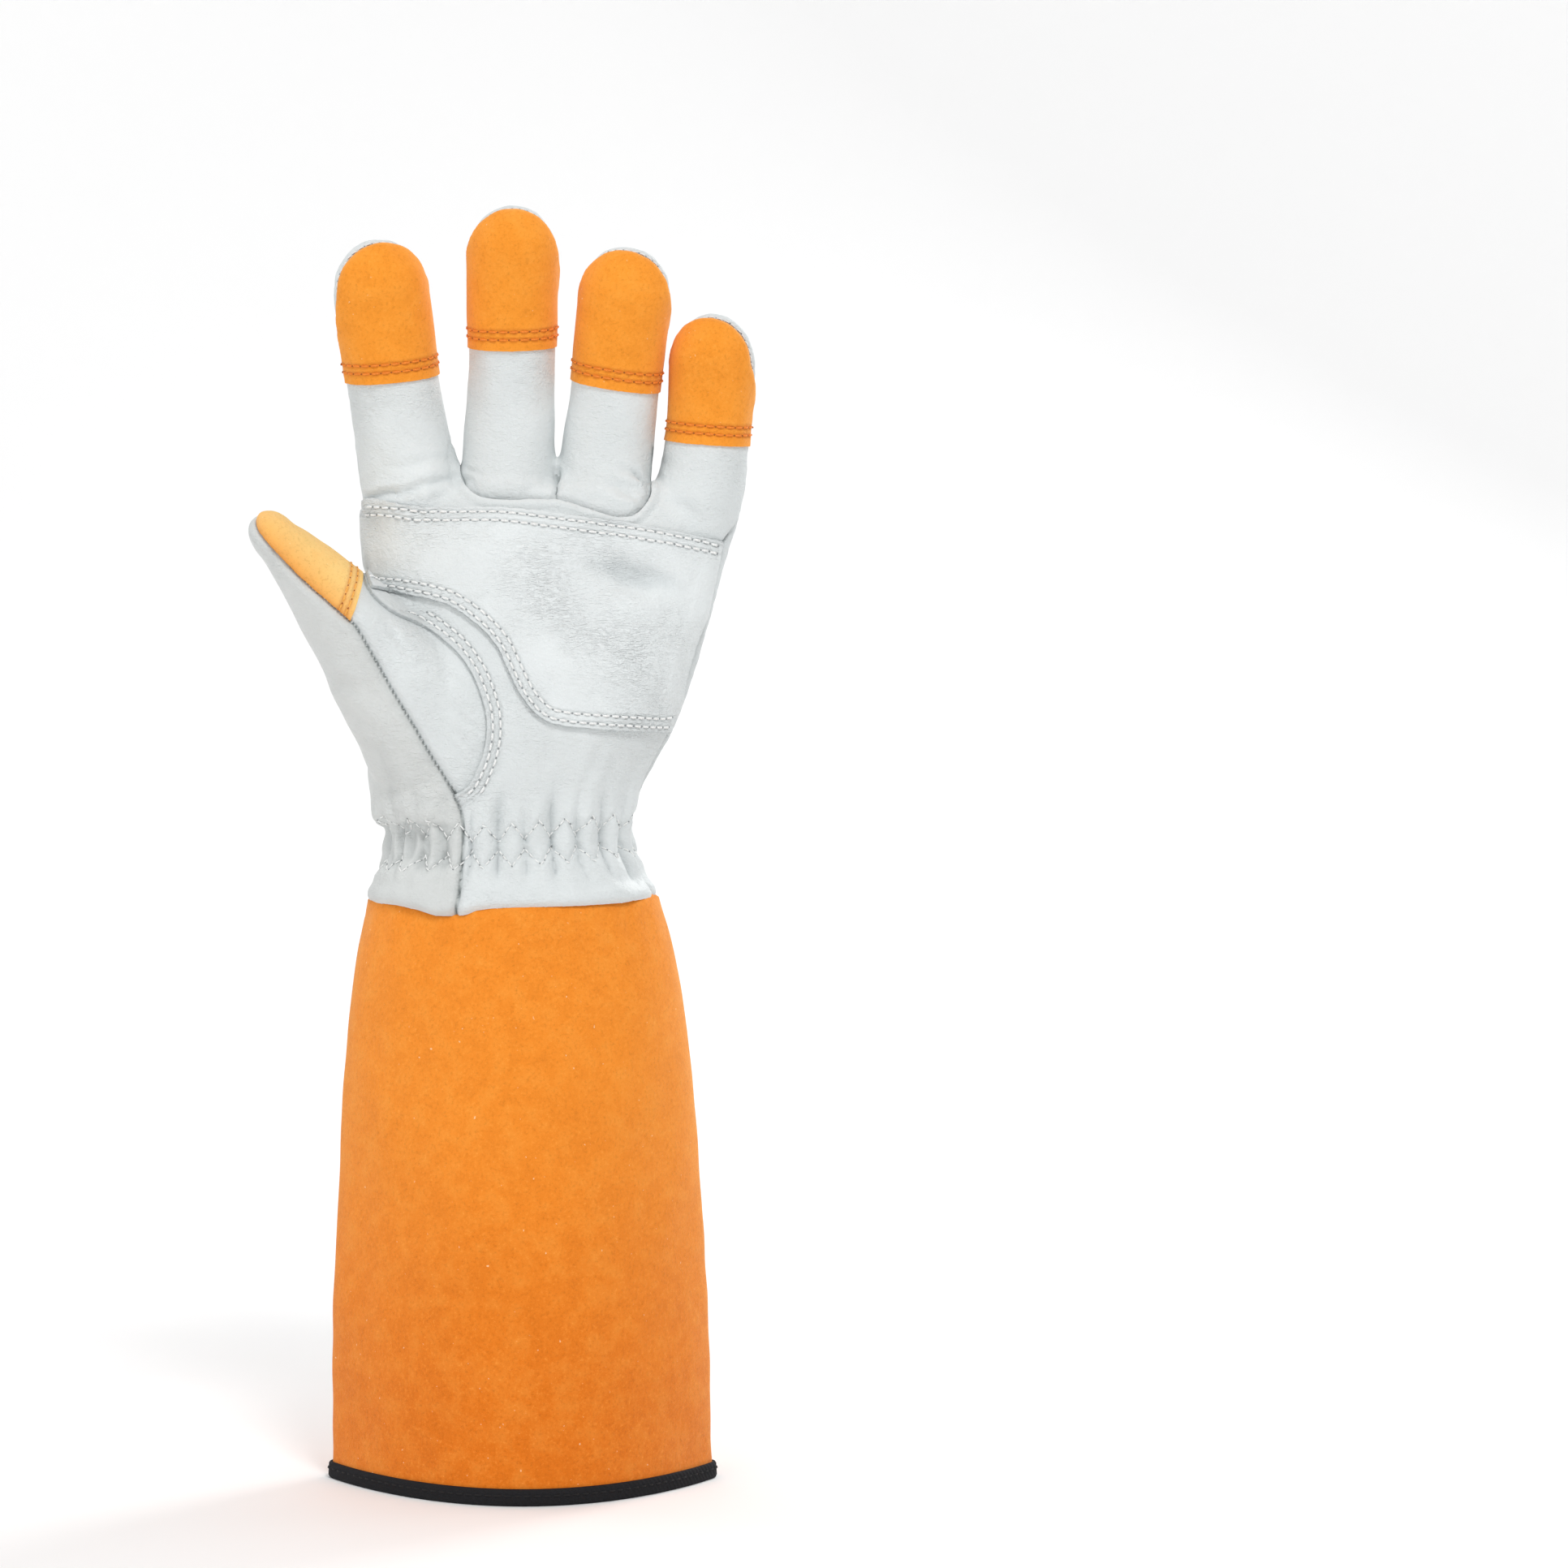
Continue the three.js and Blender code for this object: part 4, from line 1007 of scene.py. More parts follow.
def finger_fields(p, v):
    """Fields of the four fingers. Gives how far each point is inside the strips of back leather and the
    fronts of the two middle fingers."""
    places = [finger_place(p, f) for f in FINGERS]
    reach = []
    for f, (along, across, deep) in zip(FINGERS, places):
        reach.append(np.where(along > -8.0, np.hypot(across / f["width"], deep / f["depth"]), FAR))
    owner = np.argmin(reach, axis=0)
    strips = [np.minimum(behind_seams(place, f), place[0] + 5.0) for place, f in zip(places, FINGERS)]
    strips = np.where(p[:, 2] > 293.0, np.choose(owner, strips), -FAR)
    v["finger"] = owner.astype(float)
    v["cap"] = np.choose(owner, [past_cap_edge(p, f) for f in FINGERS])
    own_along = np.choose(owner, [place[0] for place in places])
    return strips, np.where((owner == 1) | (owner == 2), own_along - 9.0, -FAR)


def thumb_fields(p, plan, v):
    """Fields of the thumb's inner and outer leather and of its cap."""
    place = finger_place(p, THUMB)
    behind_thumb = behind_seams(place, THUMB)
    seam = smooth_line(THUMB_SEAM)
    arc = smooth_line(THUMB_ARC)
    outline = np.vstack([arc, THUMB_TOP_CORNERS, seam[: int(len(seam) * 14 / 21)]])
    ahead_of_seams = np.minimum(1.0 - p[:, 1], -behind_thumb)
    v["thumb_front"] = np.minimum(outline_distance(plan, outline), ahead_of_seams)
    crotch_x, crotch_z = THUMB_BACK_SEAM[0]
    back_side = -line_distance(plan, smooth_line(THUMB_BACK_SEAM))
    back_side = np.where(p[:, 2] > crotch_z, crotch_x - p[:, 0], back_side)
    ahead = np.minimum(-line_distance(plan, seam), RADIAL_SEAM_DEPTH - p[:, 1])
    behind = np.minimum(np.minimum(back_side, p[:, 1] - RADIAL_SEAM_DEPTH + 1.0), crotch_z - p[:, 2])
    rear = np.minimum(behind_thumb, THUMB_REACH - np.hypot(place[1], place[2]))
    v["thumb_back"] = np.maximum(np.maximum(ahead, behind), np.minimum(rear, back_side))
    v["thumb_cap"] = past_cap_edge(p, THUMB)
    v["arc"] = line_distance(plan, arc)


def hand_fields(form):
    """Signed distances that say which panel of leather a point is on, and how far its edges are."""
    p = form.points
    plan = p[:, [0, 2]]
    v = form.values
    strips, middle_fingers = finger_fields(p, v)
    ulnar = mix(ULNAR_SEAM_DEPTH, LITTLE_FINGER_SEAM_DEPTH, smoothstep(282.0, 297.0, p[:, 2]))
    side = np.where(p[:, 0] > KNUCKLE_SHIFT, ulnar, RADIAL_SEAM_DEPTH)
    between = smoothstep(-33.0, -25.0, p[:, 0]) * smoothstep(53.0, 45.0, p[:, 0])
    side = mix(side, CROTCH_SEAM_DEPTH, between * smoothstep(290.0, 298.0, p[:, 2]))
    block = np.minimum(p[:, 1] - side, KNUCKLE_Z + 5.0 - p[:, 2])
    v["back"] = (block + strips + np.sqrt((block - strips) ** 2 + SEAM_CORNER ** 2)) / 2
    thumb_fields(p, plan, v)

    lip = smooth_line(LIP)
    above_lip = np.vstack([lip, [(lip[-1][0], FAR), (lip[0][0], FAR)]])
    v["lip"] = np.maximum(outline_distance(plan, above_lip), middle_fingers)
    v["lip_line"] = line_distance(plan, lip)
    v["slit"] = p[:, 0] - SLIT_X
    inside_patch = outline_distance(plan, smooth_line([*PATCH_OUTLINE, PATCH_OUTLINE[0]], 4)[:-1])
    v["patch"] = np.where(p[:, 1] < 2.0, inside_patch, -FAR)
    sewn_edges = [smooth_line(PATCH_OUTLINE[a:b], 4) for a, b in ((0, 13), (20, 41))]
    v["patch_rows"] = np.minimum(*[np.abs(line_distance(plan, edge)) for edge in sewn_edges])
    edge_z = np.interp(p[:, 0], *np.array(BAND_EDGE).T)
    behind_z = mix(edge_z, BAND_EDGE_BEHIND, smoothstep(0.0, 12.0, p[:, 1]))
    v["band"] = p[:, 2] - np.where(p[:, 1] < 0, edge_z, behind_z)


def wrist_phase(points, gathers):
    """Turns through one pucker after another round the wrist, nought on the crown of one."""
    ring = hand_ring(WAIST_Z, 720)
    turn = place_round(ring, WAIST_SHIFT)
    order = np.argsort(turn)
    ring, turn = ring[order], turn[order]
    step = np.linalg.norm(np.roll(ring, -1, axis=0) - ring, axis=1)
    share = np.concatenate([[0.0], np.cumsum(step)[:-1]]) / step.sum()
    crown = np.array([[PUCKER_CROWN, -WAIST_DEPTH / 2, 0.0]])
    start = np.interp(place_round(crown, WAIST_SHIFT), turn, share)
    here = np.interp(place_round(points, WAIST_SHIFT), turn, share)
    return (here - start) * gathers * 2 * math.pi


def zigzag_heights(x, phase):
    """Heights above the waist of the upper and the lower zigzag row."""
    swing = ZIGZAG_SWING * (2 * np.abs((phase / math.pi) % 2.0 - 1.0) - 1.0)
    upper = -0.7 + 0.09 * np.abs(x + 11.0) + swing
    lower = -8.0 + 0.06 * (x + 11.0) - swing
    return upper, lower


def gather_relief(points, gathers):
    """Puckers of the gathered wrist, pinched along two zigzag rows that leave diamonds between them."""
    height = points[:, 2] - WAIST_Z
    stray = noise_at(points, 17.0, 3.1)
    free = smoothstep(3.0, 16.0, height) + smoothstep(-10.0, -16.0, height)
    phase = wrist_phase(points, gathers)
    upper, lower = zigzag_heights(points[:, 0], phase)
    bent = phase + 1.3 * stray * free
    crowns = 2.0 * np.abs(np.cos(bent / 2)) ** 0.75 - 1.25
    broad = np.cos(bent / 2 + 0.9)
    tall = 1.0 + 0.45 * noise_at(points, 11.0, 8.4)
    above = np.exp(-(np.maximum(height - 2.0, 0.0) / 9.5) ** 2)
    below = np.exp(-(np.maximum(-9.0 - height, 0.0) / 5.0) ** 2)
    thumb_side = smoothstep(-16.0, -28.0, points[:, 0])
    relief = 1.15 * (1.0 - 0.5 * thumb_side) * crowns * tall * above * below
    reach = np.exp(-(np.maximum(height - 4.0, 0.0) / 15.0) ** 2) * smoothstep(-4.0, 6.0, height)
    relief += 0.7 * broad * tall * reach
    relief -= 0.8 * (bell(height - upper, 0.9) + bell(height - lower, 0.9))
    upright = noise_at(points, 3.0, 1.7, (1.0, 1.0, 0.45))
    relief += (0.55 + 0.6 * thumb_side) * upright * above * below
    pinched = 0.5 - 2.4 * np.abs(noise_at(points, 4.2, 4.7, (1.0, 1.0, 0.3)))
    relief += 0.9 * thumb_side * pinched * smoothstep(3.0, -1.0, height) * smoothstep(-14.0, -9.0, height)
    wander = height + 2.0 * noise_at(points, 9.0, 5.2)
    pulled = smoothstep(3.5, 1.0, wander) * smoothstep(-13.0, -7.0, wander)
    relief += thumb_side * (0.9 * bell(wander - 6.0, 3.5) - 1.4 * pulled)
    little_side = smoothstep(20.0, 29.0, points[:, 0])
    return relief + 0.9 * little_side * noise_at(points, 7.0, 9.4, (1.0, 1.0, 0.8)) * above


FOLD_COLUMNS = ("side", "from_x", "from_z", "to_x", "to_z", "depth", "width")
FOLDS = [dict(zip(FOLD_COLUMNS, row)) for row in (
    (-1, -48.0, 296.6, -30.0, 298.6, 1.1, 1.1),
    (-1, -34.0, 299.2, -19.5, 302.5, 0.9, 1.1),
    (-1, 10.4, 305.0, 10.15, 296.5, 1.5, 0.9),
    (-1, 33.5, 303.5, 38.0, 299.0, 1.0, 0.8),
    (-1, 29.0, 297.5, 35.5, 295.0, 0.7, 0.9),
    (-1, -17.5, 306.0, -12.5, 302.5, 0.5, 0.8),
    (-1, -41.0, 304.5, -22.0, 308.5, 0.3, 1.3),
    (-1, -36.0, 316.0, -29.0, 309.0, 0.25, 1.2),
    (-1, -19.0, 303.0, -13.0, 299.5, 0.6, 1.1),
    (-1, 26.0, 300.0, 38.0, 297.0, 0.6, 1.3),
    (-1, 30.0, 305.0, 37.5, 302.0, 0.5, 1.2),
    (-1, 40.0, 296.0, 55.0, 290.0, 0.4, 1.6),
    (-1, 41.0, 311.0, 45.0, 305.0, 0.4, 1.2),
    (-1, 22.0, 276.5, 46.0, 269.5, 2.2, 4.6),
    (-1, -21.0, 233.0, -12.5, 225.5, 0.5, 0.9),
    (-1, -19.5, 226.0, -13.0, 217.5, 0.45, 0.9),
    (-1, -18.0, 221.0, -14.0, 213.0, 0.4, 0.8),
    (-1, -24.0, 244.0, -15.5, 238.0, 0.35, 0.9),
    (-1, -41.0, 258.0, -34.0, 249.0, 0.5, 1.1),
    (-1, -12.0, 206.0, -4.0, 222.0, 0.35, 1.6),
    (-1, 4.0, 206.0, 8.0, 224.0, 0.35, 1.7),
    (-1, 17.0, 206.0, 24.0, 223.0, 0.4, 1.8),
    (-1, 29.0, 206.0, 39.0, 224.0, 0.45, 1.8),
    (-1, -37.0, 206.0, -45.0, 224.0, 0.5, 1.6),
    (-1, -40.0, 224.0, -52.0, 232.0, 0.4, 1.8),
    (-1, -44.0, 236.0, -58.0, 243.0, 0.35, 1.8),
    (1, -20.0, 301.5, -46.0, 306.0, 0.7, 1.3),
    (1, -20.5, 300.5, -44.0, 297.0, 0.7, 1.4),
    (1, -21.0, 299.0, -38.0, 284.0, 0.8, 1.6),
    (1, -19.5, 298.5, -24.0, 284.0, 0.7, 1.4),
    (1, -18.0, 298.5, -14.0, 283.0, 0.7, 1.4),
    (1, -17.0, 299.5, 18.0, 268.0, 1.1, 2.8),
    (1, -17.0, 300.5, 3.0, 296.0, 0.8, 1.4),
    (1, 3.0, 294.0, 33.0, 291.0, 1.0, 2.0),
    (1, 9.0, 298.0, 22.0, 298.5, 0.6, 1.3),
    (1, 10.0, 297.0, 6.0, 283.0, 0.6, 1.5),
    (1, 24.0, 299.0, 37.0, 298.5, 0.7, 1.3),
    (1, 38.0, 297.0, 30.0, 281.0, 0.8, 1.6),
    (1, 39.0, 297.0, 40.0, 282.0, 0.8, 1.5),
    (1, 40.0, 297.5, 52.0, 284.0, 0.7, 1.6),
    (1, 41.0, 299.0, 56.0, 304.0, 0.6, 1.4),
    (1, -47.0, 262.0, -38.0, 261.0, 0.6, 1.2),
    (1, -46.0, 258.0, -36.0, 248.0, 0.6, 1.5),
    (1, -18.0, 237.0, -3.0, 217.0, 0.7, 2.8),
    (1, 8.0, 236.0, 18.0, 216.0, 0.5, 2.4),
    (1, 22.0, 212.0, 38.0, 226.0, 0.7, 2.4),
    (1, -20.0, 206.0, -28.0, 222.0, 0.5, 1.8),
    (1, -1.0, 206.0, -3.0, 220.0, 0.4, 1.6),
    (1, 12.0, 206.0, 14.0, 220.0, 0.4, 1.6),
    (1, -46.0, 336.0, -34.0, 333.0, 0.35, 1.0),
    (1, -13.0, 330.0, -2.0, 327.0, 0.4, 1.0),
    (1, -13.0, 324.0, 4.0, 325.0, 0.4, 1.0),
    (1, -12.0, 318.0, 2.0, 320.0, 0.4, 1.0),
    (1, 17.0, 322.0, 30.0, 318.0, 0.4, 1.0),
    (1, 18.0, 315.0, 33.0, 313.0, 0.4, 1.0),
    (1, 46.0, 315.0, 56.0, 311.0, 0.35, 1.0),
)]


def fold_relief(points):
    """Creases pressed into the leather, each with a soft swelling beside it."""
    plan = points[:, [0, 2]] + 0.9 * noise_at(points, 5.0, 4.0)[:, None]
    relief = np.zeros(len(points))
    for fold in FOLDS:
        start = np.array([fold["from_x"], fold["from_z"]])
        run = np.array([fold["to_x"], fold["to_z"]]) - start
        t = np.clip(((plan - start) @ run) / (run @ run), 0.0, 1.0)
        distance = np.linalg.norm(plan - (start + t[:, None] * run), axis=1)
        facing = smoothstep(1.0, 5.0, fold["side"] * points[:, 1])
        taper = np.sin(math.pi * np.clip(t * 0.86 + 0.07, 0.0, 1.0)) ** 0.7
        w = fold["width"]
        section = 0.5 * bell(distance - 2.2 * w, 1.3 * w) - bell(distance, w)
        relief += fold["depth"] * facing * taper * section
    return relief


def shape_leather(form, sizes):
    """Gathers, folds and seams pressed into the leather form."""
    p = form.points
    v = form.values
    normals = form.normals()
    relief = gather_relief(p, sizes.gathers) + fold_relief(p)
    # painted shade: how deep each point lies in a fold or gather, for the leather to darken
    v["hollow"] = smoothstep(0.1, 1.8, -relief)
    relief += sizes.wrinkle * 0.9 * noise_at(p, 16.0, 5.5)
    relief += 0.55 * noise_at(p, 12.0, 6.3) * smoothstep(3.0, 9.0, v["thumb_back"])
    relief += sizes.wrinkle * 0.45 * noise_at(p, 6.0, 2.2, (1.0, 1.0, 0.6))
    seams = np.minimum(np.abs(v["back"]), np.abs(v["thumb_back"]))
    seams = np.where(v["thumb_front"] > 2.0, np.abs(v["thumb_back"]), seams)
    relief -= sizes.seam_depth * bell(seams, 1.1)
    relief += 0.3 * bell(seams - 2.6, 1.5)
    relief += 0.8 * bell(v["band"] - 3.0, 2.2) - 0.9 * (1.0 - smoothstep(0.0, 1.3, v["band"]))
    relief += 0.22 * noise_at(p, 3.2, 9.9) * bell(seams - 2.0, 2.6)
    v["seam_distance"] = seams
    form.points = p + normals * relief[:, None]


def edge_lift(sheet, distance, lift, width):
    """Raises or lowers a sheet towards an edge that lies over or under its neighbour."""
    sheet.lift(lift * (1.0 - smoothstep(0.0, width, np.abs(distance))))


def paint_edge_shade(sheet, distance):
    """Paints shade on a sheet along another edge too, as the materials paint it along a seam."""
    sheet.values["seam_distance"] = np.minimum(sheet.values["seam_distance"], distance)


def keep_values(sheet, stitch=None, wear_and_painted_highlight=None):
    """Leaves only the normals and the values that the materials read."""
    row = np.full(len(sheet.points), CLEAR) if stitch is None else stitch
    kept = {key: sheet.values[key] for key in (*DIRECTION_KEYS, "hollow")}
    kept["seam_distance"] = np.clip(sheet.values["seam_distance"], 0.0, CLEAR)
    kept["stitch_distance"] = np.clip(row, -CLEAR, CLEAR)
    # painted highlight of the thumb's cap, for the suede
    if wear_and_painted_highlight is not None:
        kept["wear_and_painted_highlight"] = wear_and_painted_highlight
    sheet.values = kept


# Stitches

def walk(points, normals, pitch):
    """Evenly spaced places, directions and normals along a run."""
    steps = np.linalg.norm(np.diff(points, axis=0), axis=1)
    length = np.concatenate([[0.0], np.cumsum(steps)])
    count = int(length[-1] / pitch)

    def at(place, table):
        return np.array([np.interp(place, length, table[:, k]) for k in range(3)])

    for i in range(count):
        place = (i + 0.5) * length[-1] / count
        run = at(place + 0.4, points) - at(place - 0.4, points)
        up = at(place, normals)
        if np.linalg.norm(run) > 1e-6:
            yield at(place, points), run / np.linalg.norm(run), up / max(np.linalg.norm(up), 1e-9)


# Along the stitch, girth and rise of each of its rings
STITCH_PROFILE = [
    (-0.5, 0.45, -0.9), (-0.36, 0.9, 0.0), (0.0, 1.0, 0.35), (0.36, 0.9, 0.0), (0.5, 0.45, -0.9),
]
STITCH_SIDES = 6
# Height and radius of each ring of a needle hole
HOLE_PROFILE = [(-0.3, 0.5), (0.05, 0.5), (0.09, 0.25)]
HOLE_SIDES = 8


def add_rings(faces, base, rings, sides):
    """Faces of a closed tube over rings of points that start at a base number."""
    for r in range(rings - 1):
        for k in range(sides):
            n = (k + 1) % sides
            low = base + r * sides
            faces.append((low + k, low + n, low + sides + n, low + sides + k))
    faces.append(tuple(base + k for k in reversed(range(sides))))
    faces.append(tuple(base + (rings - 1) * sides + k for k in range(sides)))


def add_stitch(points, faces, place, run, up, length, width):
    """One stitch: a plump thread whose ends dive into the leather."""
    side = np.cross(up, run)
    add_rings(faces, len(points), len(STITCH_PROFILE), STITCH_SIDES)
    for along, girth, rise in STITCH_PROFILE:
        centre = place + run * along * length + up * (rise * width * 0.5)
        for k in range(STITCH_SIDES):
            a = k * 2 * math.pi / STITCH_SIDES
            reach = side * math.cos(a) * 0.5 + up * math.sin(a) * 0.42
            points.append(centre + reach * width * girth)


def add_hole(points, faces, place, run, up, width):
    """The dent round a needle hole, as a low button, dark with painted shade."""
    side = np.cross(up, run)
    add_rings(faces, len(points), len(HOLE_PROFILE), HOLE_SIDES)
    for height, radius in HOLE_PROFILE:
        for k in range(HOLE_SIDES):
            a = k * 2 * math.pi / HOLE_SIDES
            reach = run * math.cos(a) * 1.1 + side * math.sin(a)
            points.append(place + reach * radius * width + up * height)


def stitching(name, runs, pitch, length, width, thread, holes=None):
    """Stitched rows as one object, and their needle holes as another."""
    points, faces = [], []
    dots, dot_faces = [], []
    for run_points, run_normals in runs:
        for place, run, up in walk(run_points, run_normals, pitch):
            add_stitch(points, faces, place + up * width * 0.2, run, up, length, width)
            if holes:
                add_hole(dots, dot_faces, place + run * pitch / 2, run, up, width * 0.85)
    if not faces:
        raise RuntimeError(f"{name} has no rows to follow")
    rows = raw_object(name, points, faces)
    turned_out(rows)
    all_smooth(rows)
    dress(rows, thread)
    if holes:
        spots = raw_object(f"{name}_holes", dots, dot_faces)
        turned_out(spots)
        dress(spots, holes)


def rows_along(sheet, field, rows):
    """Runs on a sheet, one set for each value of the field."""
    return [run for row in rows for run in sheet.contour(field, row)]


def near_rows(field, rows):
    """Distance to the nearest of the rows, for every point."""
    return np.min([np.abs(field - row) for row in rows], axis=0)


def only(runs, keep):
    """The stretches of runs whose points pass a test, without the shortest."""
    out = []
    for points, normals in runs:
        good = np.array([keep(p) for p in points])
        start = None
        for i, ok in enumerate([*good, False]):
            if ok and start is None:
                start = i
            if not ok and start is not None:
                stretch = points[start:i]
                length = np.linalg.norm(np.diff(stretch, axis=0), axis=1).sum()
                if len(stretch) > 2 and length > SHORTEST_ROW:
                    out.append((stretch, normals[start:i]))
                start = None
    return out


class GauntletSizes(PropertyGroup):
    """Sizes of the gauntlet's leather work, in millimetres."""

    leather: FloatProperty(name="Leather", description="Thickness of the pale leather", default=1.2, min=0.5)
    suede: FloatProperty(name="Suede", description="Thickness of the cuff's suede", default=1.8, min=0.5)
    patch: FloatProperty(name="Patch", description="Thickness of the palm patch", default=1.1, min=0.3)
    voxel: FloatProperty(name="Fineness", description="Size of the leather's faces", default=0.88, min=0.5)
    wrinkle: FloatProperty(name="Wrinkles", description="Height of the soft wrinkles", default=0.42)
    seam_depth: FloatProperty(name="Seam depth", description="How deep the seams pull in", default=0.95)
    gathers: IntProperty(name="Gathers", description="Puckers round the wrist", default=24)
    stitch: FloatProperty(name="Stitch", description="Length of a stitch", default=2.35)
    pitch: FloatProperty(name="Stitch pitch", description="From one stitch to the next", default=2.9)
    thread: FloatProperty(name="Thread", description="Width of the sewing thread", default=0.75)


def colour_property(name, description, default):
    return FloatVectorProperty(
        name=name, description=description, subtype="COLOR", default=default, min=0.0, max=1.0,
    )


class GauntletColours(PropertyGroup):
    """Colours of the gauntlet and its stage."""

    leather: colour_property("Leather", "Pale goat leather", (0.70, 0.735, 0.738))
    patch: colour_property("Patch", "Paler leather of the palm patch", (0.745, 0.78, 0.784))
    # painted shade: a darker copy of the leather for the thumb's outer side, which faces away from the light
    thumb: colour_property("Thumb", "Duller leather on the outer side of the thumb", (0.64, 0.66, 0.65))
    suede: colour_property("Suede", "Orange suede of the cuff", (0.89, 0.27, 0.022))
    tips: colour_property("Fingertips", "Orange suede of the fingertips", (0.92, 0.315, 0.028))
    pale: colour_property("Pale nap", "Brushed, paler nap", (0.95, 0.42, 0.075))
    tape: colour_property("Tape", "Black binding tape", (0.005, 0.005, 0.006))
    rubber: colour_property("Rubber", "Black rubber of the badge", (0.006, 0.006, 0.007))
    floor: colour_property("Floor", "Pale floor and backdrop", (0.93, 0.93, 0.93))


class GAUNTLET_OT_stage(Operator):
    """Pale floor that sweeps up behind, soft lights and the camera"""

    bl_idname = "gauntlet.stage"
    bl_label = "Stage"

    CAMERA_DISTANCE = 1.0
    CAMERA_HEIGHT = 0.2103
    IMAGE_PIXELS = 1932
    PIXELS_PER_METRE = 4060
    GLOVE_MIDDLE_PIXEL = 644
    FLOOR_SIZE = (9.0, 6.0, 1.0)
    FLOOR_SHIFT = -1.2
    BACK_EDGE = 1.7
    WALL_HEIGHT = 3.5
    SWEEP = 1.0

    def execute(self, context):
        colours = context.scene.gauntlet_colours
        bpy.ops.mesh.primitive_plane_add(size=1.0, location=(0.0, 0.0, 0.0))
        floor = context.active_object
        floor.name = "floor"
        floor.scale = self.FLOOR_SIZE
        floor.location = (0.0, self.FLOOR_SHIFT, 0.0)
        bpy.ops.object.transform_apply(location=True, rotation=True, scale=True)
        bpy.ops.object.mode_set(mode="EDIT")
        bpy.ops.mesh.select_mode(type="EDGE")
        self.select_low_back_edge(floor)
        bpy.ops.mesh.extrude_region_move(TRANSFORM_OT_translate={"value": (0.0, 0.0, self.WALL_HEIGHT)})
        self.select_low_back_edge(floor)
        bpy.ops.mesh.bevel(offset=self.SWEEP, offset_type="OFFSET", segments=16, affect="EDGES")
        bpy.ops.object.mode_set(mode="OBJECT")
        select_only(floor)
        bpy.ops.object.shade_smooth()
        floor.data.materials.append(paper_floor("pale_floor", colours.floor))

        data = bpy.data.cameras.new("camera")
        data.sensor_width = 36.0
        data.lens = 36.0 * self.PIXELS_PER_METRE * self.CAMERA_DISTANCE / self.IMAGE_PIXELS
        data.shift_x = (self.IMAGE_PIXELS / 2 - self.GLOVE_MIDDLE_PIXEL) / self.IMAGE_PIXELS
        camera = bpy.data.objects.new("camera", data)
        camera.location = (0.0, -self.CAMERA_DISTANCE, self.CAMERA_HEIGHT)
        camera.rotation_euler = (math.radians(90.0), 0.0, 0.0)
        context.scene.collection.objects.link(camera)
        context.scene.camera = camera

        middle = (0.0, 0.0, 0.2)
        self.light(context, "key", (0.3, -0.95, 1.35), middle, 0.4, 9.0)
        self.light(context, "fill", (-1.1, -1.0, 0.5), middle, 1.0, 4.5)
        self.light(context, "back_key", (0.9, 0.95, 1.1), middle, 0.45, 8.0)
        self.light(context, "wall_left", (-1.3, 0.7, 1.6), (-0.6, 1.8, 0.4), 1.2, 7.0)
        self.light(context, "wall_right", (1.5, 0.7, 1.6), (0.9, 1.8, 0.4), 1.2, 7.0)
        world = bpy.data.worlds.new("studio")
        world.use_nodes = True
        world.node_tree.nodes["Background"].inputs["Color"].default_value = (1.0, 1.0, 1.0, 1.0)
        world.node_tree.nodes["Background"].inputs["Strength"].default_value = 0.55
        context.scene.world = world
        context.scene.view_settings.view_transform = "Standard"
        return {"FINISHED"}

    def select_low_back_edge(self, floor):
        bpy.ops.mesh.select_all(action="DESELECT")
        edit = bmesh.from_edit_mesh(floor.data)
        for edge in edit.edges:
            if all(vertex.co.y > self.BACK_EDGE and vertex.co.z < 0.01 for vertex in edge.verts):
                edge.select = True
        bmesh.update_edit_mesh(floor.data)

    def light(self, context, name, place, target, size, power):
        data = bpy.data.lights.new(name, "AREA")
        data.shape = "DISK"
        data.size = size
        data.energy = power
        lamp = bpy.data.objects.new(name, data)
        lamp.location = place
        aim = Vector(target) - Vector(place)
        lamp.rotation_euler = aim.to_track_quat("-Z", "Y").to_euler()
        context.scene.collection.objects.link(lamp)


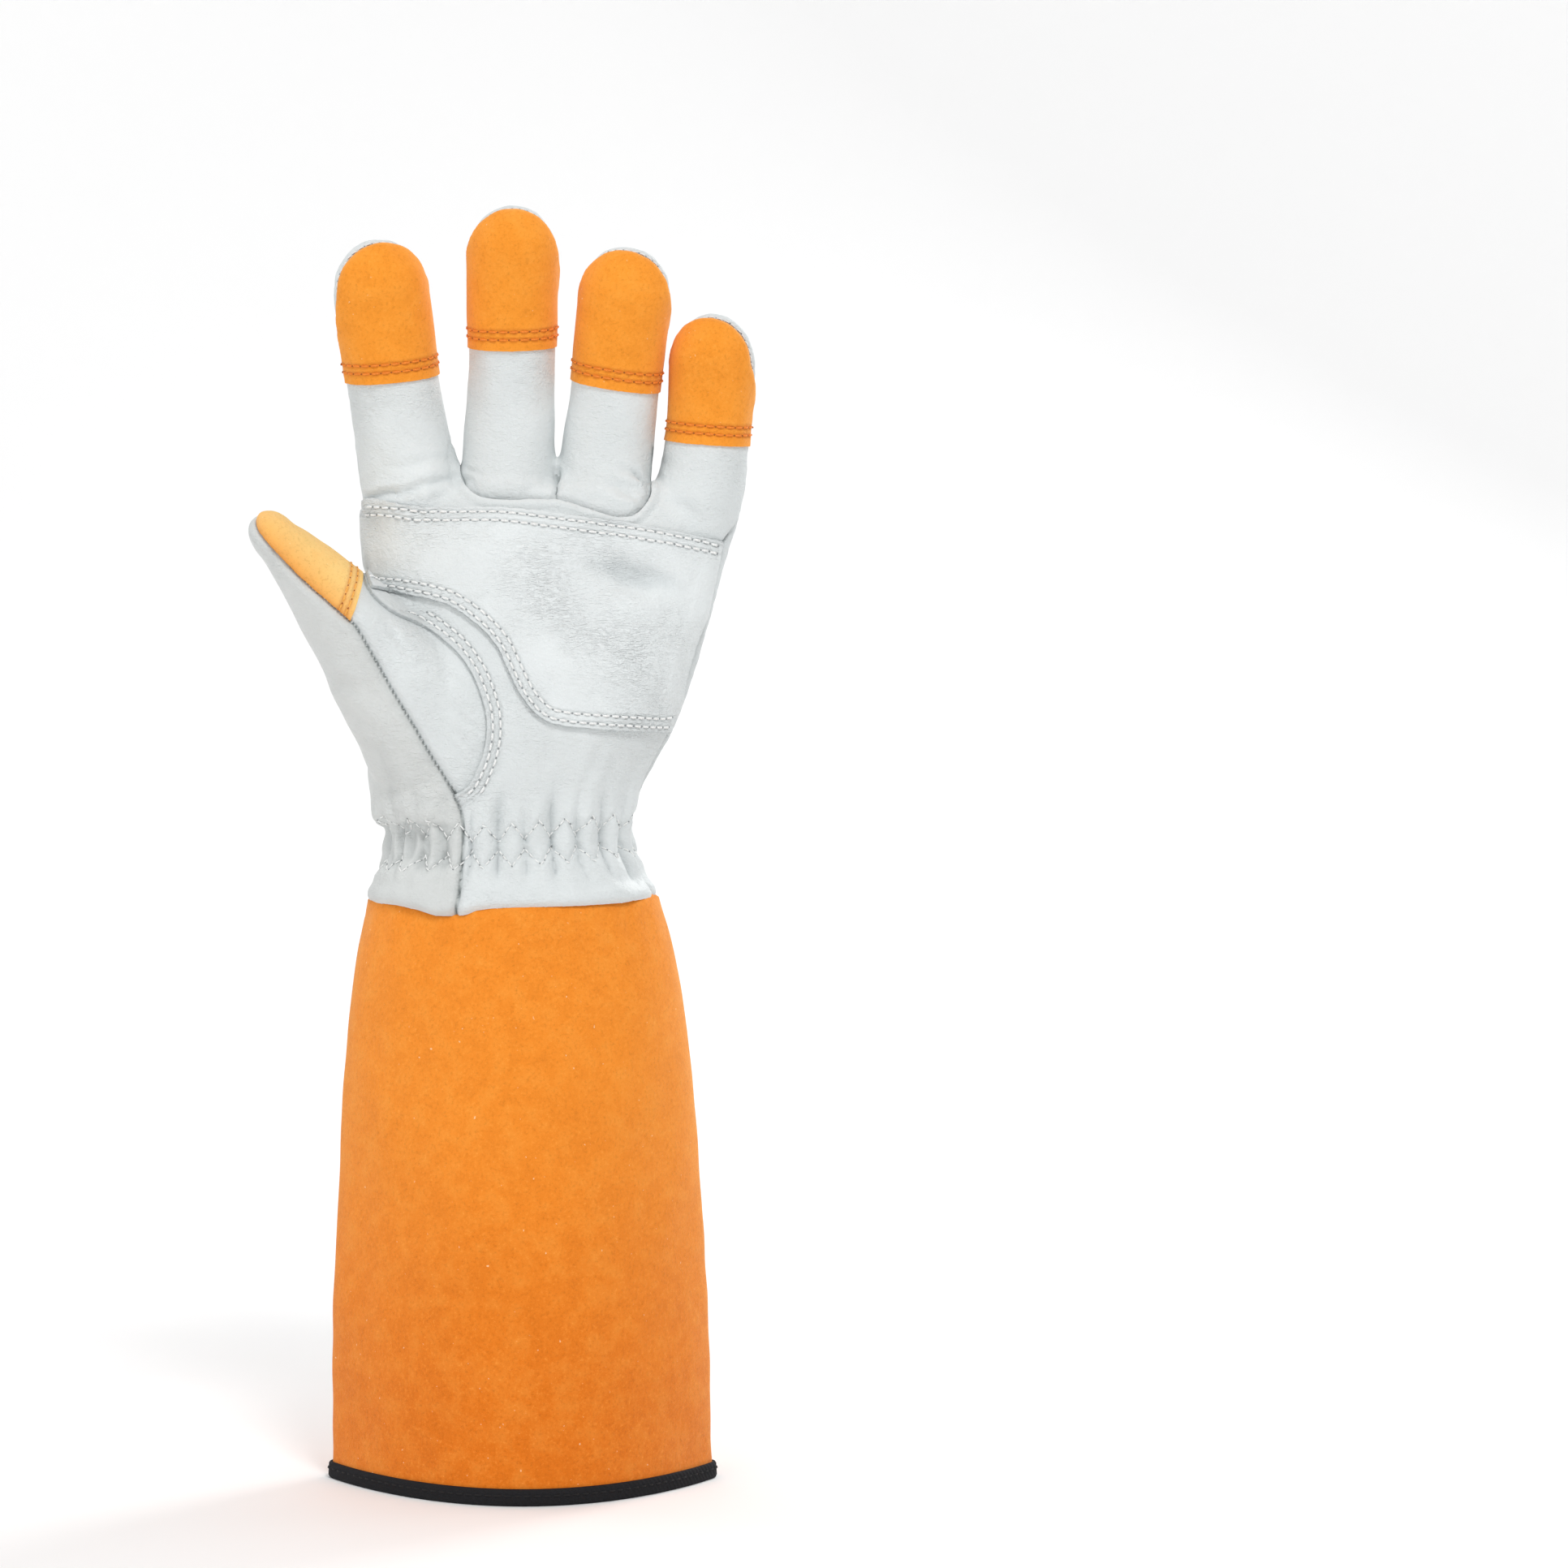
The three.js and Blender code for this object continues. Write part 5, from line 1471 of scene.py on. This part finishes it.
class GAUNTLET_OT_hand(Operator):
    """Leather panels of the hand, suede fingertips, palm patch and their stitching"""

    bl_idname = "gauntlet.hand"
    bl_label = "Hand leather"

    def execute(self, context):
        sizes = context.scene.gauntlet_sizes
        colours = context.scene.gauntlet_colours
        leather = grained_leather("pale_leather", colours.leather)
        patch_leather = grained_leather("patch_leather", colours.patch, 0.9)
        # painted shade: the thumb's outer side gets a darker copy of the leather
        shaded_thumb_leather = grained_leather("shaded_thumb_leather", colours.thumb)
        suede = napped_suede("fingertip_suede", colours.tips, colours.pale)
        white_thread = twisted_thread("white_thread", (0.88, 0.89, 0.88))
        orange_thread = twisted_thread("orange_thread", (0.88, 0.25, 0.022))
        faded_thread = twisted_thread("faded_thread", (0.95, 0.47, 0.09))
        # painted shade inside the needle holes
        holes = needle_hole("needle_holes", (0.24, 0.255, 0.26))
        dark_holes = needle_hole("suede_needle_holes", (0.30, 0.08, 0.012))

        form = hand_form(sizes.voxel)
        hand_fields(form)
        form, _ = form.split("band")
        shape_leather(form, sizes)
        form.keep_normals()
        outside = BVHTree.FromPolygons(form.points.tolist(), form.faces.tolist())

        thumb_front, rest = form.split("thumb_front")
        thumb_back, rest = rest.split("thumb_back")
        back, palm_side = rest.split("back")
        capped, palm_side = palm_side.split("cap")
        of_face = capped.values["finger"][capped.faces]
        caps = [capped.part((of_face == k).all(axis=1)).bodies()[0] for k in range(len(FINGERS))]
        fronts, palm = palm_side.split("lip")
        ring_front, middle_front = fronts.split("slit")
        thumb_cap, thumb_front = thumb_front.split("thumb_cap")

        back, palm, thumb_back, thumb_front, thumb_cap, ring_front, middle_front = (
            sheet.bodies()[0]
            for sheet in (back, palm, thumb_back, thumb_front, thumb_cap, ring_front, middle_front)
        )

        self.raise_palm_edges(palm)
        for sheet in (back, palm, thumb_back, thumb_front):
            edge_lift(sheet, sheet.values["seam_distance"], -0.5, 0.9)
        edge_lift(thumb_front, thumb_front.values["arc"], -0.55, 5.0)
        # painted shadow on the thumb's inner leather under the palm's raw edge
        paint_edge_shade(thumb_front, EDGE_SHADE_OFFSET + np.abs(thumb_front.values["arc"]))
        for front in (ring_front, middle_front):
            self.tuck_in(front)
        past_arc = np.where(palm.values["arc"] < 0, -palm.values["arc"], CLEAR)
        sewn = (palm.points[:, 0] > -42.0) & (palm.points[:, 2] < 262.0)
        palm_rows = np.where(sewn, near_rows(past_arc, ARC_ROWS), CLEAR)
        arc_runs = only(
            rows_along(palm, "arc", [-row for row in ARC_ROWS]),
            lambda p: p[1] < -5 and 207.0 < p[2] < 261.5 and p[0] > -36.0,
        )
        palm.lift(-0.4 * (palm.values["patch"] > 5.0))
        patch = self.patch(palm, sizes)

        for sheet in (*caps, thumb_cap):
            sheet.lift(CAP_RISE)
        cap_runs = [run for sheet in caps for run in rows_along(sheet, "cap", CAP_ROWS)]
        thumb_cap_runs = rows_along(thumb_cap, "thumb_cap", THUMB_CAP_ROWS)
        over_tips, _ = back.split("cap")
        rim_runs = over_tips.contour("back", 0.9)

        for sheet, name, node in (
            (back, "back_leather", "back_panel"),
            (thumb_back, "thumb_back_leather", "thumb_back"),
            (palm, "palm_leather", "palm_panel"),
            (middle_front, "middle_finger_leather", "middle_finger_front"),
            (ring_front, "ring_finger_leather", "ring_finger_front"),
            (thumb_front, "thumb_inner_leather", "thumb_front"),
        ):
            keep_values(sheet, palm_rows if sheet is palm else None)
            material = shaded_thumb_leather if sheet is thumb_back else leather
            dress(sheet.object(name, sizes.leather), material, [node])
        for sheet, f in zip(caps, FINGERS):
            name = f["name"]
            keep_values(sheet, near_rows(sheet.values["cap"], CAP_ROWS))
            cap = sheet.object(f"{name}_tip_suede", sizes.leather)
            dress(cap, suede, [f"{name}_tip_cap"])
        # painted highlight across one side of the thumb's cap
        wear_and_painted_highlight = 0.8 * smoothstep(-9.0, 9.0, finger_place(thumb_cap.points, THUMB)[1])
        keep_values(thumb_cap, near_rows(thumb_cap.values["thumb_cap"], THUMB_CAP_ROWS), wear_and_painted_highlight)
        dress(thumb_cap.object("thumb_tip_suede", sizes.leather), suede, ["thumb_tip_cap"])

        stitching("fingertip_rim_stitches", rim_runs, 2.3, 1.6, 0.45, white_thread, holes)

        patch_runs = rows_along(patch, "patch_rows", PATCH_ROWS)
        patch_runs = only(patch_runs, lambda p: self.off_sides(p) > 0.9)
        keep_values(patch, near_rows(patch.values["patch_rows"], PATCH_ROWS))
        dress(patch.object("palm_patch_leather", sizes.patch), patch_leather, ["palm_patch"])

        stitching("patch_stitches", patch_runs, sizes.pitch, sizes.stitch, sizes.thread,
                  white_thread, holes)
        stitching("thumb_arc_stitches", arc_runs, sizes.pitch, sizes.stitch, sizes.thread,
                  white_thread, holes)
        stitching("fingertip_stitches", cap_runs, 3.1, 2.5, 0.6,
                  orange_thread, dark_holes)
        stitching("thumb_tip_stitches", thumb_cap_runs, 2.7, 2.1, 0.5,
                  faded_thread, dark_holes)
        zigzag = self.zigzag(outside, sizes)
        stitching("wrist_zigzag", zigzag, 2.4, 1.9, 0.5, white_thread, holes)
        return {"FINISHED"}

    def raise_palm_edges(self, palm):
        """Raises the palm leather's raw edges, over the finger bases and over the thumb."""
        lip = np.abs(palm.values["lip_line"])
        welt = 0.5 * (1.0 - smoothstep(0.0, 6.0, lip))
        welt += 0.45 * bell(lip - 1.0, 0.9) - 0.4 * bell(lip - 2.9, 0.8)
        palm.lift(welt)
        on_arc = np.where(palm.values["thumb_front"] > -6.0, palm.values["thumb_front"], CLEAR)
        edge_lift(palm, on_arc, 0.75, 3.0)
        # painted shadow along the palm's raw edge where it lies over the thumb
        paint_edge_shade(palm, EDGE_SHADE_OFFSET + np.abs(on_arc))

    def tuck_in(self, front):
        """Pushes the foot of a finger's front under the palm's edge, and swells it just above."""
        lip = np.where(front.points[:, 1] < 3.0, np.abs(front.values["lip_line"]), CLEAR)
        tuck = 1.0 * bell(lip - 5.5, 3.2) - 1.2 * (1.0 - smoothstep(0.0, 2.4, lip))
        tuck += 0.4 * noise_at(front.points, 3.5, 6.1) * bell(lip - 4.0, 3.0)
        front.lift(tuck * smoothstep(304.0, 298.0, front.points[:, 2]))
        slit = np.where(front.points[:, 2] < 304.0, 0.2 + np.abs(front.values["slit"]), CLEAR)
        # painted shade under the palm's edge and along the slit between the two fronts
        paint_edge_shade(front, np.minimum(lip, slit))

    def off_sides(self, p):
        """Distance from the patch's two side edges, which the seams hold and no stitches follow."""
        plan = np.array([[p[0], p[2]]])
        sides = (np.array(PATCH_OUTLINE[12:21]), np.array([*PATCH_OUTLINE[40:], PATCH_OUTLINE[0]]))
        return min(float(np.abs(line_distance(plan, side))[0]) for side in sides)

    def patch(self, palm, sizes):
        """The palm's second layer, laid over the palm leather."""
        patch, _ = palm.split("patch")
        patch = patch.bodies()[0]
        patch.smooth(2)
        patch.lift(sizes.patch + 0.25)
        x, z = patch.points[:, 0], patch.points[:, 2]
        # painted shadow along the patch's edges, left off where its top edge faces the light
        lit_top_edge = smoothstep(34.0, 22.0, x) * smoothstep(282.0, 286.0, z)
        paint_edge_shade(patch, EDGE_SHADE_OFFSET + 0.5 * lit_top_edge + np.abs(patch.values["patch"]))
        return patch

    def zigzag(self, outside, sizes):
        """Two rows of zigzag stitches round the gathered wrist, mirror images of each other."""
        runs = []
        for row in (0, 1):
            points, normals = [], []
            for turn in np.linspace(-math.pi, math.pi, sizes.gathers * 24):
                aim = np.array([math.cos(turn), math.sin(turn), 0.0])
                place = np.array([[WAIST_SHIFT, 0.0, WAIST_Z]]) + aim * WAIST_WIDTH / 2
                phase = wrist_phase(place, sizes.gathers)
                for _ in range(3):
                    rise = zigzag_heights(place[:, 0], phase)[row][0]
                    start = np.array([WAIST_SHIFT, 0.0, WAIST_Z + rise]) + aim * 90.0
                    hit, normal, _, _ = outside.ray_cast(Vector(start), Vector(-aim))
                    if hit is None:
                        break
                    place = np.array([hit])
                if hit is not None:
                    points.append(np.array(hit))
                    normals.append(np.array(normal))
            runs.append((np.array(points), np.array(normals)))
        return runs


class GAUNTLET_OT_cuff(Operator):
    """Flared suede cuff with its bound hem"""

    bl_idname = "gauntlet.cuff"
    bl_label = "Cuff"

    SIDES = 280
    ROWS = 120

    def execute(self, context):
        sizes = context.scene.gauntlet_sizes
        colours = context.scene.gauntlet_colours
        suede = napped_suede("cuff_suede", colours.suede, colours.pale)
        tape = woven_tape("binding_tape", colours.tape)
        black_thread = twisted_thread("black_thread", (0.004, 0.004, 0.005))
        sheet = self.cuff_sheet()
        sheet.values = {
            "seam_distance": np.full(len(sheet.points), CLEAR),
            "stitch_distance": np.full(len(sheet.points), CLEAR),
            # painted shade, darker towards the hem
            "painted_hem_shade": smoothstep(130.0, 15.0, sheet.points[:, 2]),
        }
        dress(sheet.object("cuff_suede", sizes.suede), suede, ["gauntlet_cuff"])
        binding = self.binding()
        dress(binding, tape, ["hem_binding"])
        points = cuff_ring(3.1, 400, 1.15)
        points = np.vstack([points, points[:1]])
        run = np.roll(points, -1, axis=0) - np.roll(points, 1, axis=0)
        normals = np.column_stack([run[:, 1], -run[:, 0], np.zeros(len(run))])
        normals /= np.maximum(np.linalg.norm(normals, axis=1, keepdims=True), 1e-9)
        stitching("hem_stitches", [(points, normals)], 2.9, 2.1, 0.5, black_thread)
        return {"FINISHED"}

    def cuff_sheet(self):
        rings = []
        for z in np.linspace(0.9, CUFF_LENGTH, self.ROWS):
            ring = cuff_ring(z, self.SIDES)
            edge_z = np.interp(ring[:, 0], *np.array(BAND_EDGE).T)
            edge_z = np.where(ring[:, 1] < 0, edge_z, BAND_EDGE_BEHIND)
            share = z / CUFF_LENGTH
            ring[:, 2] = z + (edge_z - CUFF_LENGTH) * share ** 8
            rings.append(ring)
        top = rings[-1]
        middle = np.array([BAND_SHIFT, 0.0])
        for step in np.linspace(0.15, 1.0, 8):
            ring = top.copy()
            away = ring[:, :2] - middle
            inward = 2.4 * min(step * 2.0, 1.0) + 4.0 * step
            ring[:, :2] = middle + away * (1 - inward / np.linalg.norm(away, axis=1, keepdims=True))
            ring[:, 2] += step * CUFF_TUCK
            rings.append(ring)
        points = np.vstack(rings)
        faces = []
        for r in range(len(rings) - 1):
            for i in range(self.SIDES):
                n = (i + 1) % self.SIDES
                low = r * self.SIDES
                high = low + self.SIDES
                faces.append((low + i, low + n, high + n))
                faces.append((low + i, high + n, high + i))
        sheet = Sheet(points, faces)
        relief = 0.9 * noise_at(points, 42.0, 4.4) + 0.35 * noise_at(points, 13.0, 7.7)
        below_band = bell(points[:, 2] - BAND_Z + 4.0, 9.0)
        pleats = np.cos(place_round(points, 0.0) * 30 + 2.0 * noise_at(points, 20.0, 2.9))
        relief = relief + 0.12 * pleats * below_band
        free = smoothstep(0.0, 14.0, points[:, 2]) * smoothstep(BAND_Z + 1.0, BAND_Z - 8.0, points[:, 2])
        sheet.points = points + sheet.normals() * (relief * free)[:, None]
        return sheet

    def binding(self):
        """Tape folded round the hem, as one ring of a U-shaped section."""
        top = HEM_BINDING_HEIGHT
        section = [
            (0.25, top), (0.85, top - 0.1), (1.15, top - 0.6), (1.2, top * 0.55), (1.25, 0.9),
            (1.0, 0.35), (0.5, 0.05), (-1.8, 0.0), (-2.5, 0.3), (-2.95, 1.0), (-3.0, top * 0.6),
            (-2.7, top - 0.3), (-2.2, top - 0.2), (-2.1, 1.6), (-0.1, 1.2), (0.2, 2.0),
        ]
        rings = [cuff_ring(z, self.SIDES, grow) for grow, z in section]
        points = np.vstack(rings)
        faces = []
        for r in range(len(rings)):
            for i in range(self.SIDES):
                n = (i + 1) % self.SIDES
                low = r * self.SIDES
                high = ((r + 1) % len(rings)) * self.SIDES
                faces.append((low + i, low + n, high + n, high + i))
        piece = raw_object("hem_binding_tape", points, faces)
        turned_out(piece)
        all_smooth(piece)
        return piece


class GAUNTLET_OT_badge(Operator):
    """Bare rubber badge on the back of the cuff"""

    bl_idname = "gauntlet.badge"
    bl_label = "Badge"

    WIDTH = 42.0
    HEIGHT = 16.0
    CORNER = 3.6
    THICK = 1.5
    RIM = 1.5
    RIM_RISE = 0.5
    SIDE = 2.5
    RISE = 33.0

    def execute(self, context):
        colours = context.scene.gauntlet_colours
        rubber = moulded_rubber("badge_rubber", colours.rubber)
        thread = twisted_thread("badge_thread", (0.02, 0.02, 0.022))
        bpy.ops.mesh.primitive_plane_add(size=1.0)
        plate = context.active_object
        plate.name = "badge_plate"
        plate.scale = (self.WIDTH, self.HEIGHT, 1.0)
        bpy.ops.object.transform_apply(location=False, rotation=False, scale=True)
        bpy.ops.object.mode_set(mode="EDIT")
        bpy.ops.mesh.select_all(action="SELECT")
        bpy.ops.mesh.bevel(offset=self.CORNER, offset_type="OFFSET", segments=8, affect="VERTICES")
        bpy.ops.mesh.select_all(action="SELECT")
        bpy.ops.mesh.extrude_region_move(TRANSFORM_OT_translate={"value": (0.0, 0.0, self.THICK)})
        for inset, lift in ((0.25, self.RIM_RISE * 0.8), (0.35, self.RIM_RISE * 0.2), (0.7, 0.0),
                            (0.35, -self.RIM_RISE * 1.1), (0.5, 0.0)):
            bpy.ops.mesh.inset(thickness=inset, depth=0.0)
            bpy.ops.transform.translate(value=(0.0, 0.0, lift))
        bpy.ops.object.mode_set(mode="OBJECT")
        all_smooth(plate)
        self.grid_and_bend(plate)
        select_only(plate)
        bpy.ops.object.shade_smooth_by_angle(angle=math.radians(35))
        dress(plate, rubber, ["badge"])

        inset = self.RIM + 0.75
        w, h, r = self.WIDTH / 2 - inset, self.HEIGHT / 2 - inset, self.CORNER - inset + 1.0
        ring = []
        for quarter, (sx, sy) in enumerate(((1, 1), (-1, 1), (-1, -1), (1, -1))):
            for step in np.linspace(0, math.pi / 2, 6):
                a = step + quarter * math.pi / 2
                ring.append((sx * (w - r) + r * math.cos(a), sy * (h - r) + r * math.sin(a)))
        ring.append(ring[0])
        points = np.array([self.bent(x, y, self.THICK + 0.02) for x, y in ring])
        normals = np.array([self.bent(x, y, 1.0) - self.bent(x, y, 0.0) for x, y in ring])
        stitching("badge_stitches", [(points, normals)], 2.4, 1.7, 0.5, thread)
        return {"FINISHED"}

    def bent(self, x, y, out):
        """A point of the flat badge, laid on the back of the cuff."""
        z = self.RISE + y
        s = cuff_section(z)

        def depth_at(distance):
            cosine = min(distance / s["half"], 0.999)
            return s["deep"] * math.sqrt(1.0 - cosine ** 2) ** (2 / s["lens"])

        step = 0.1
        across = self.SIDE - x - s["shift"]
        base = depth_at(abs(across))
        slope = (depth_at(abs(across) + step) - base) / step * (1 if across > 0 else -1)
        normal = np.array([-slope, 1.0, 0.0]) / math.hypot(slope, 1.0)
        return np.array([across + s["shift"], base, z]) + normal * (out + 0.25)

    def grid_and_bend(self, plate):
        """Cuts the flat badge into narrow strips, then lays it on the cuff."""
        select_only(plate)
        bpy.ops.object.mode_set(mode="EDIT")
        for x in np.arange(-self.WIDTH / 2 + 1.0, self.WIDTH / 2, 1.0):
            bpy.ops.mesh.select_all(action="SELECT")
            bpy.ops.mesh.bisect(plane_co=(float(x), 0.0, 0.0), plane_no=(1.0, 0.0, 0.0))
        bpy.ops.object.mode_set(mode="OBJECT")
        for vertex in plate.data.vertices:
            x, y, out = vertex.co
            vertex.co = Vector(self.bent(x, y, out) * MM)
        turned_out(plate)


class GAUNTLET_PT_panel(Panel):
    """Lists the gauntlet's pieces"""

    bl_idname = "GAUNTLET_PT_panel"
    bl_label = "Gauntlet"
    bl_space_type = "VIEW_3D"
    bl_region_type = "UI"
    bl_category = "Gauntlet"

    def draw(self, context):
        for operator in OPERATORS:
            self.layout.operator(operator.bl_idname)
        for group in (context.scene.gauntlet_sizes, context.scene.gauntlet_colours):
            for key in group.bl_rna.properties.keys():
                if key not in ("rna_type", "name"):
                    self.layout.prop(group, key)


OPERATORS = (GAUNTLET_OT_stage, GAUNTLET_OT_hand, GAUNTLET_OT_cuff, GAUNTLET_OT_badge)
CLASSES = (GauntletSizes, GauntletColours, *OPERATORS, GAUNTLET_PT_panel)


def register():
    for cls in CLASSES:
        bpy.utils.register_class(cls)
    bpy.types.Scene.gauntlet_sizes = PointerProperty(type=GauntletSizes)
    bpy.types.Scene.gauntlet_colours = PointerProperty(type=GauntletColours)


def unregister():
    del bpy.types.Scene.gauntlet_colours
    del bpy.types.Scene.gauntlet_sizes
    for cls in reversed(CLASSES):
        bpy.utils.unregister_class(cls)


def main():
    register()
    steps = bpy.ops.gauntlet
    for step in (steps.stage, steps.hand, steps.cuff, steps.badge):
        select_only()
        step()


if __name__ == "__main__":
    main()
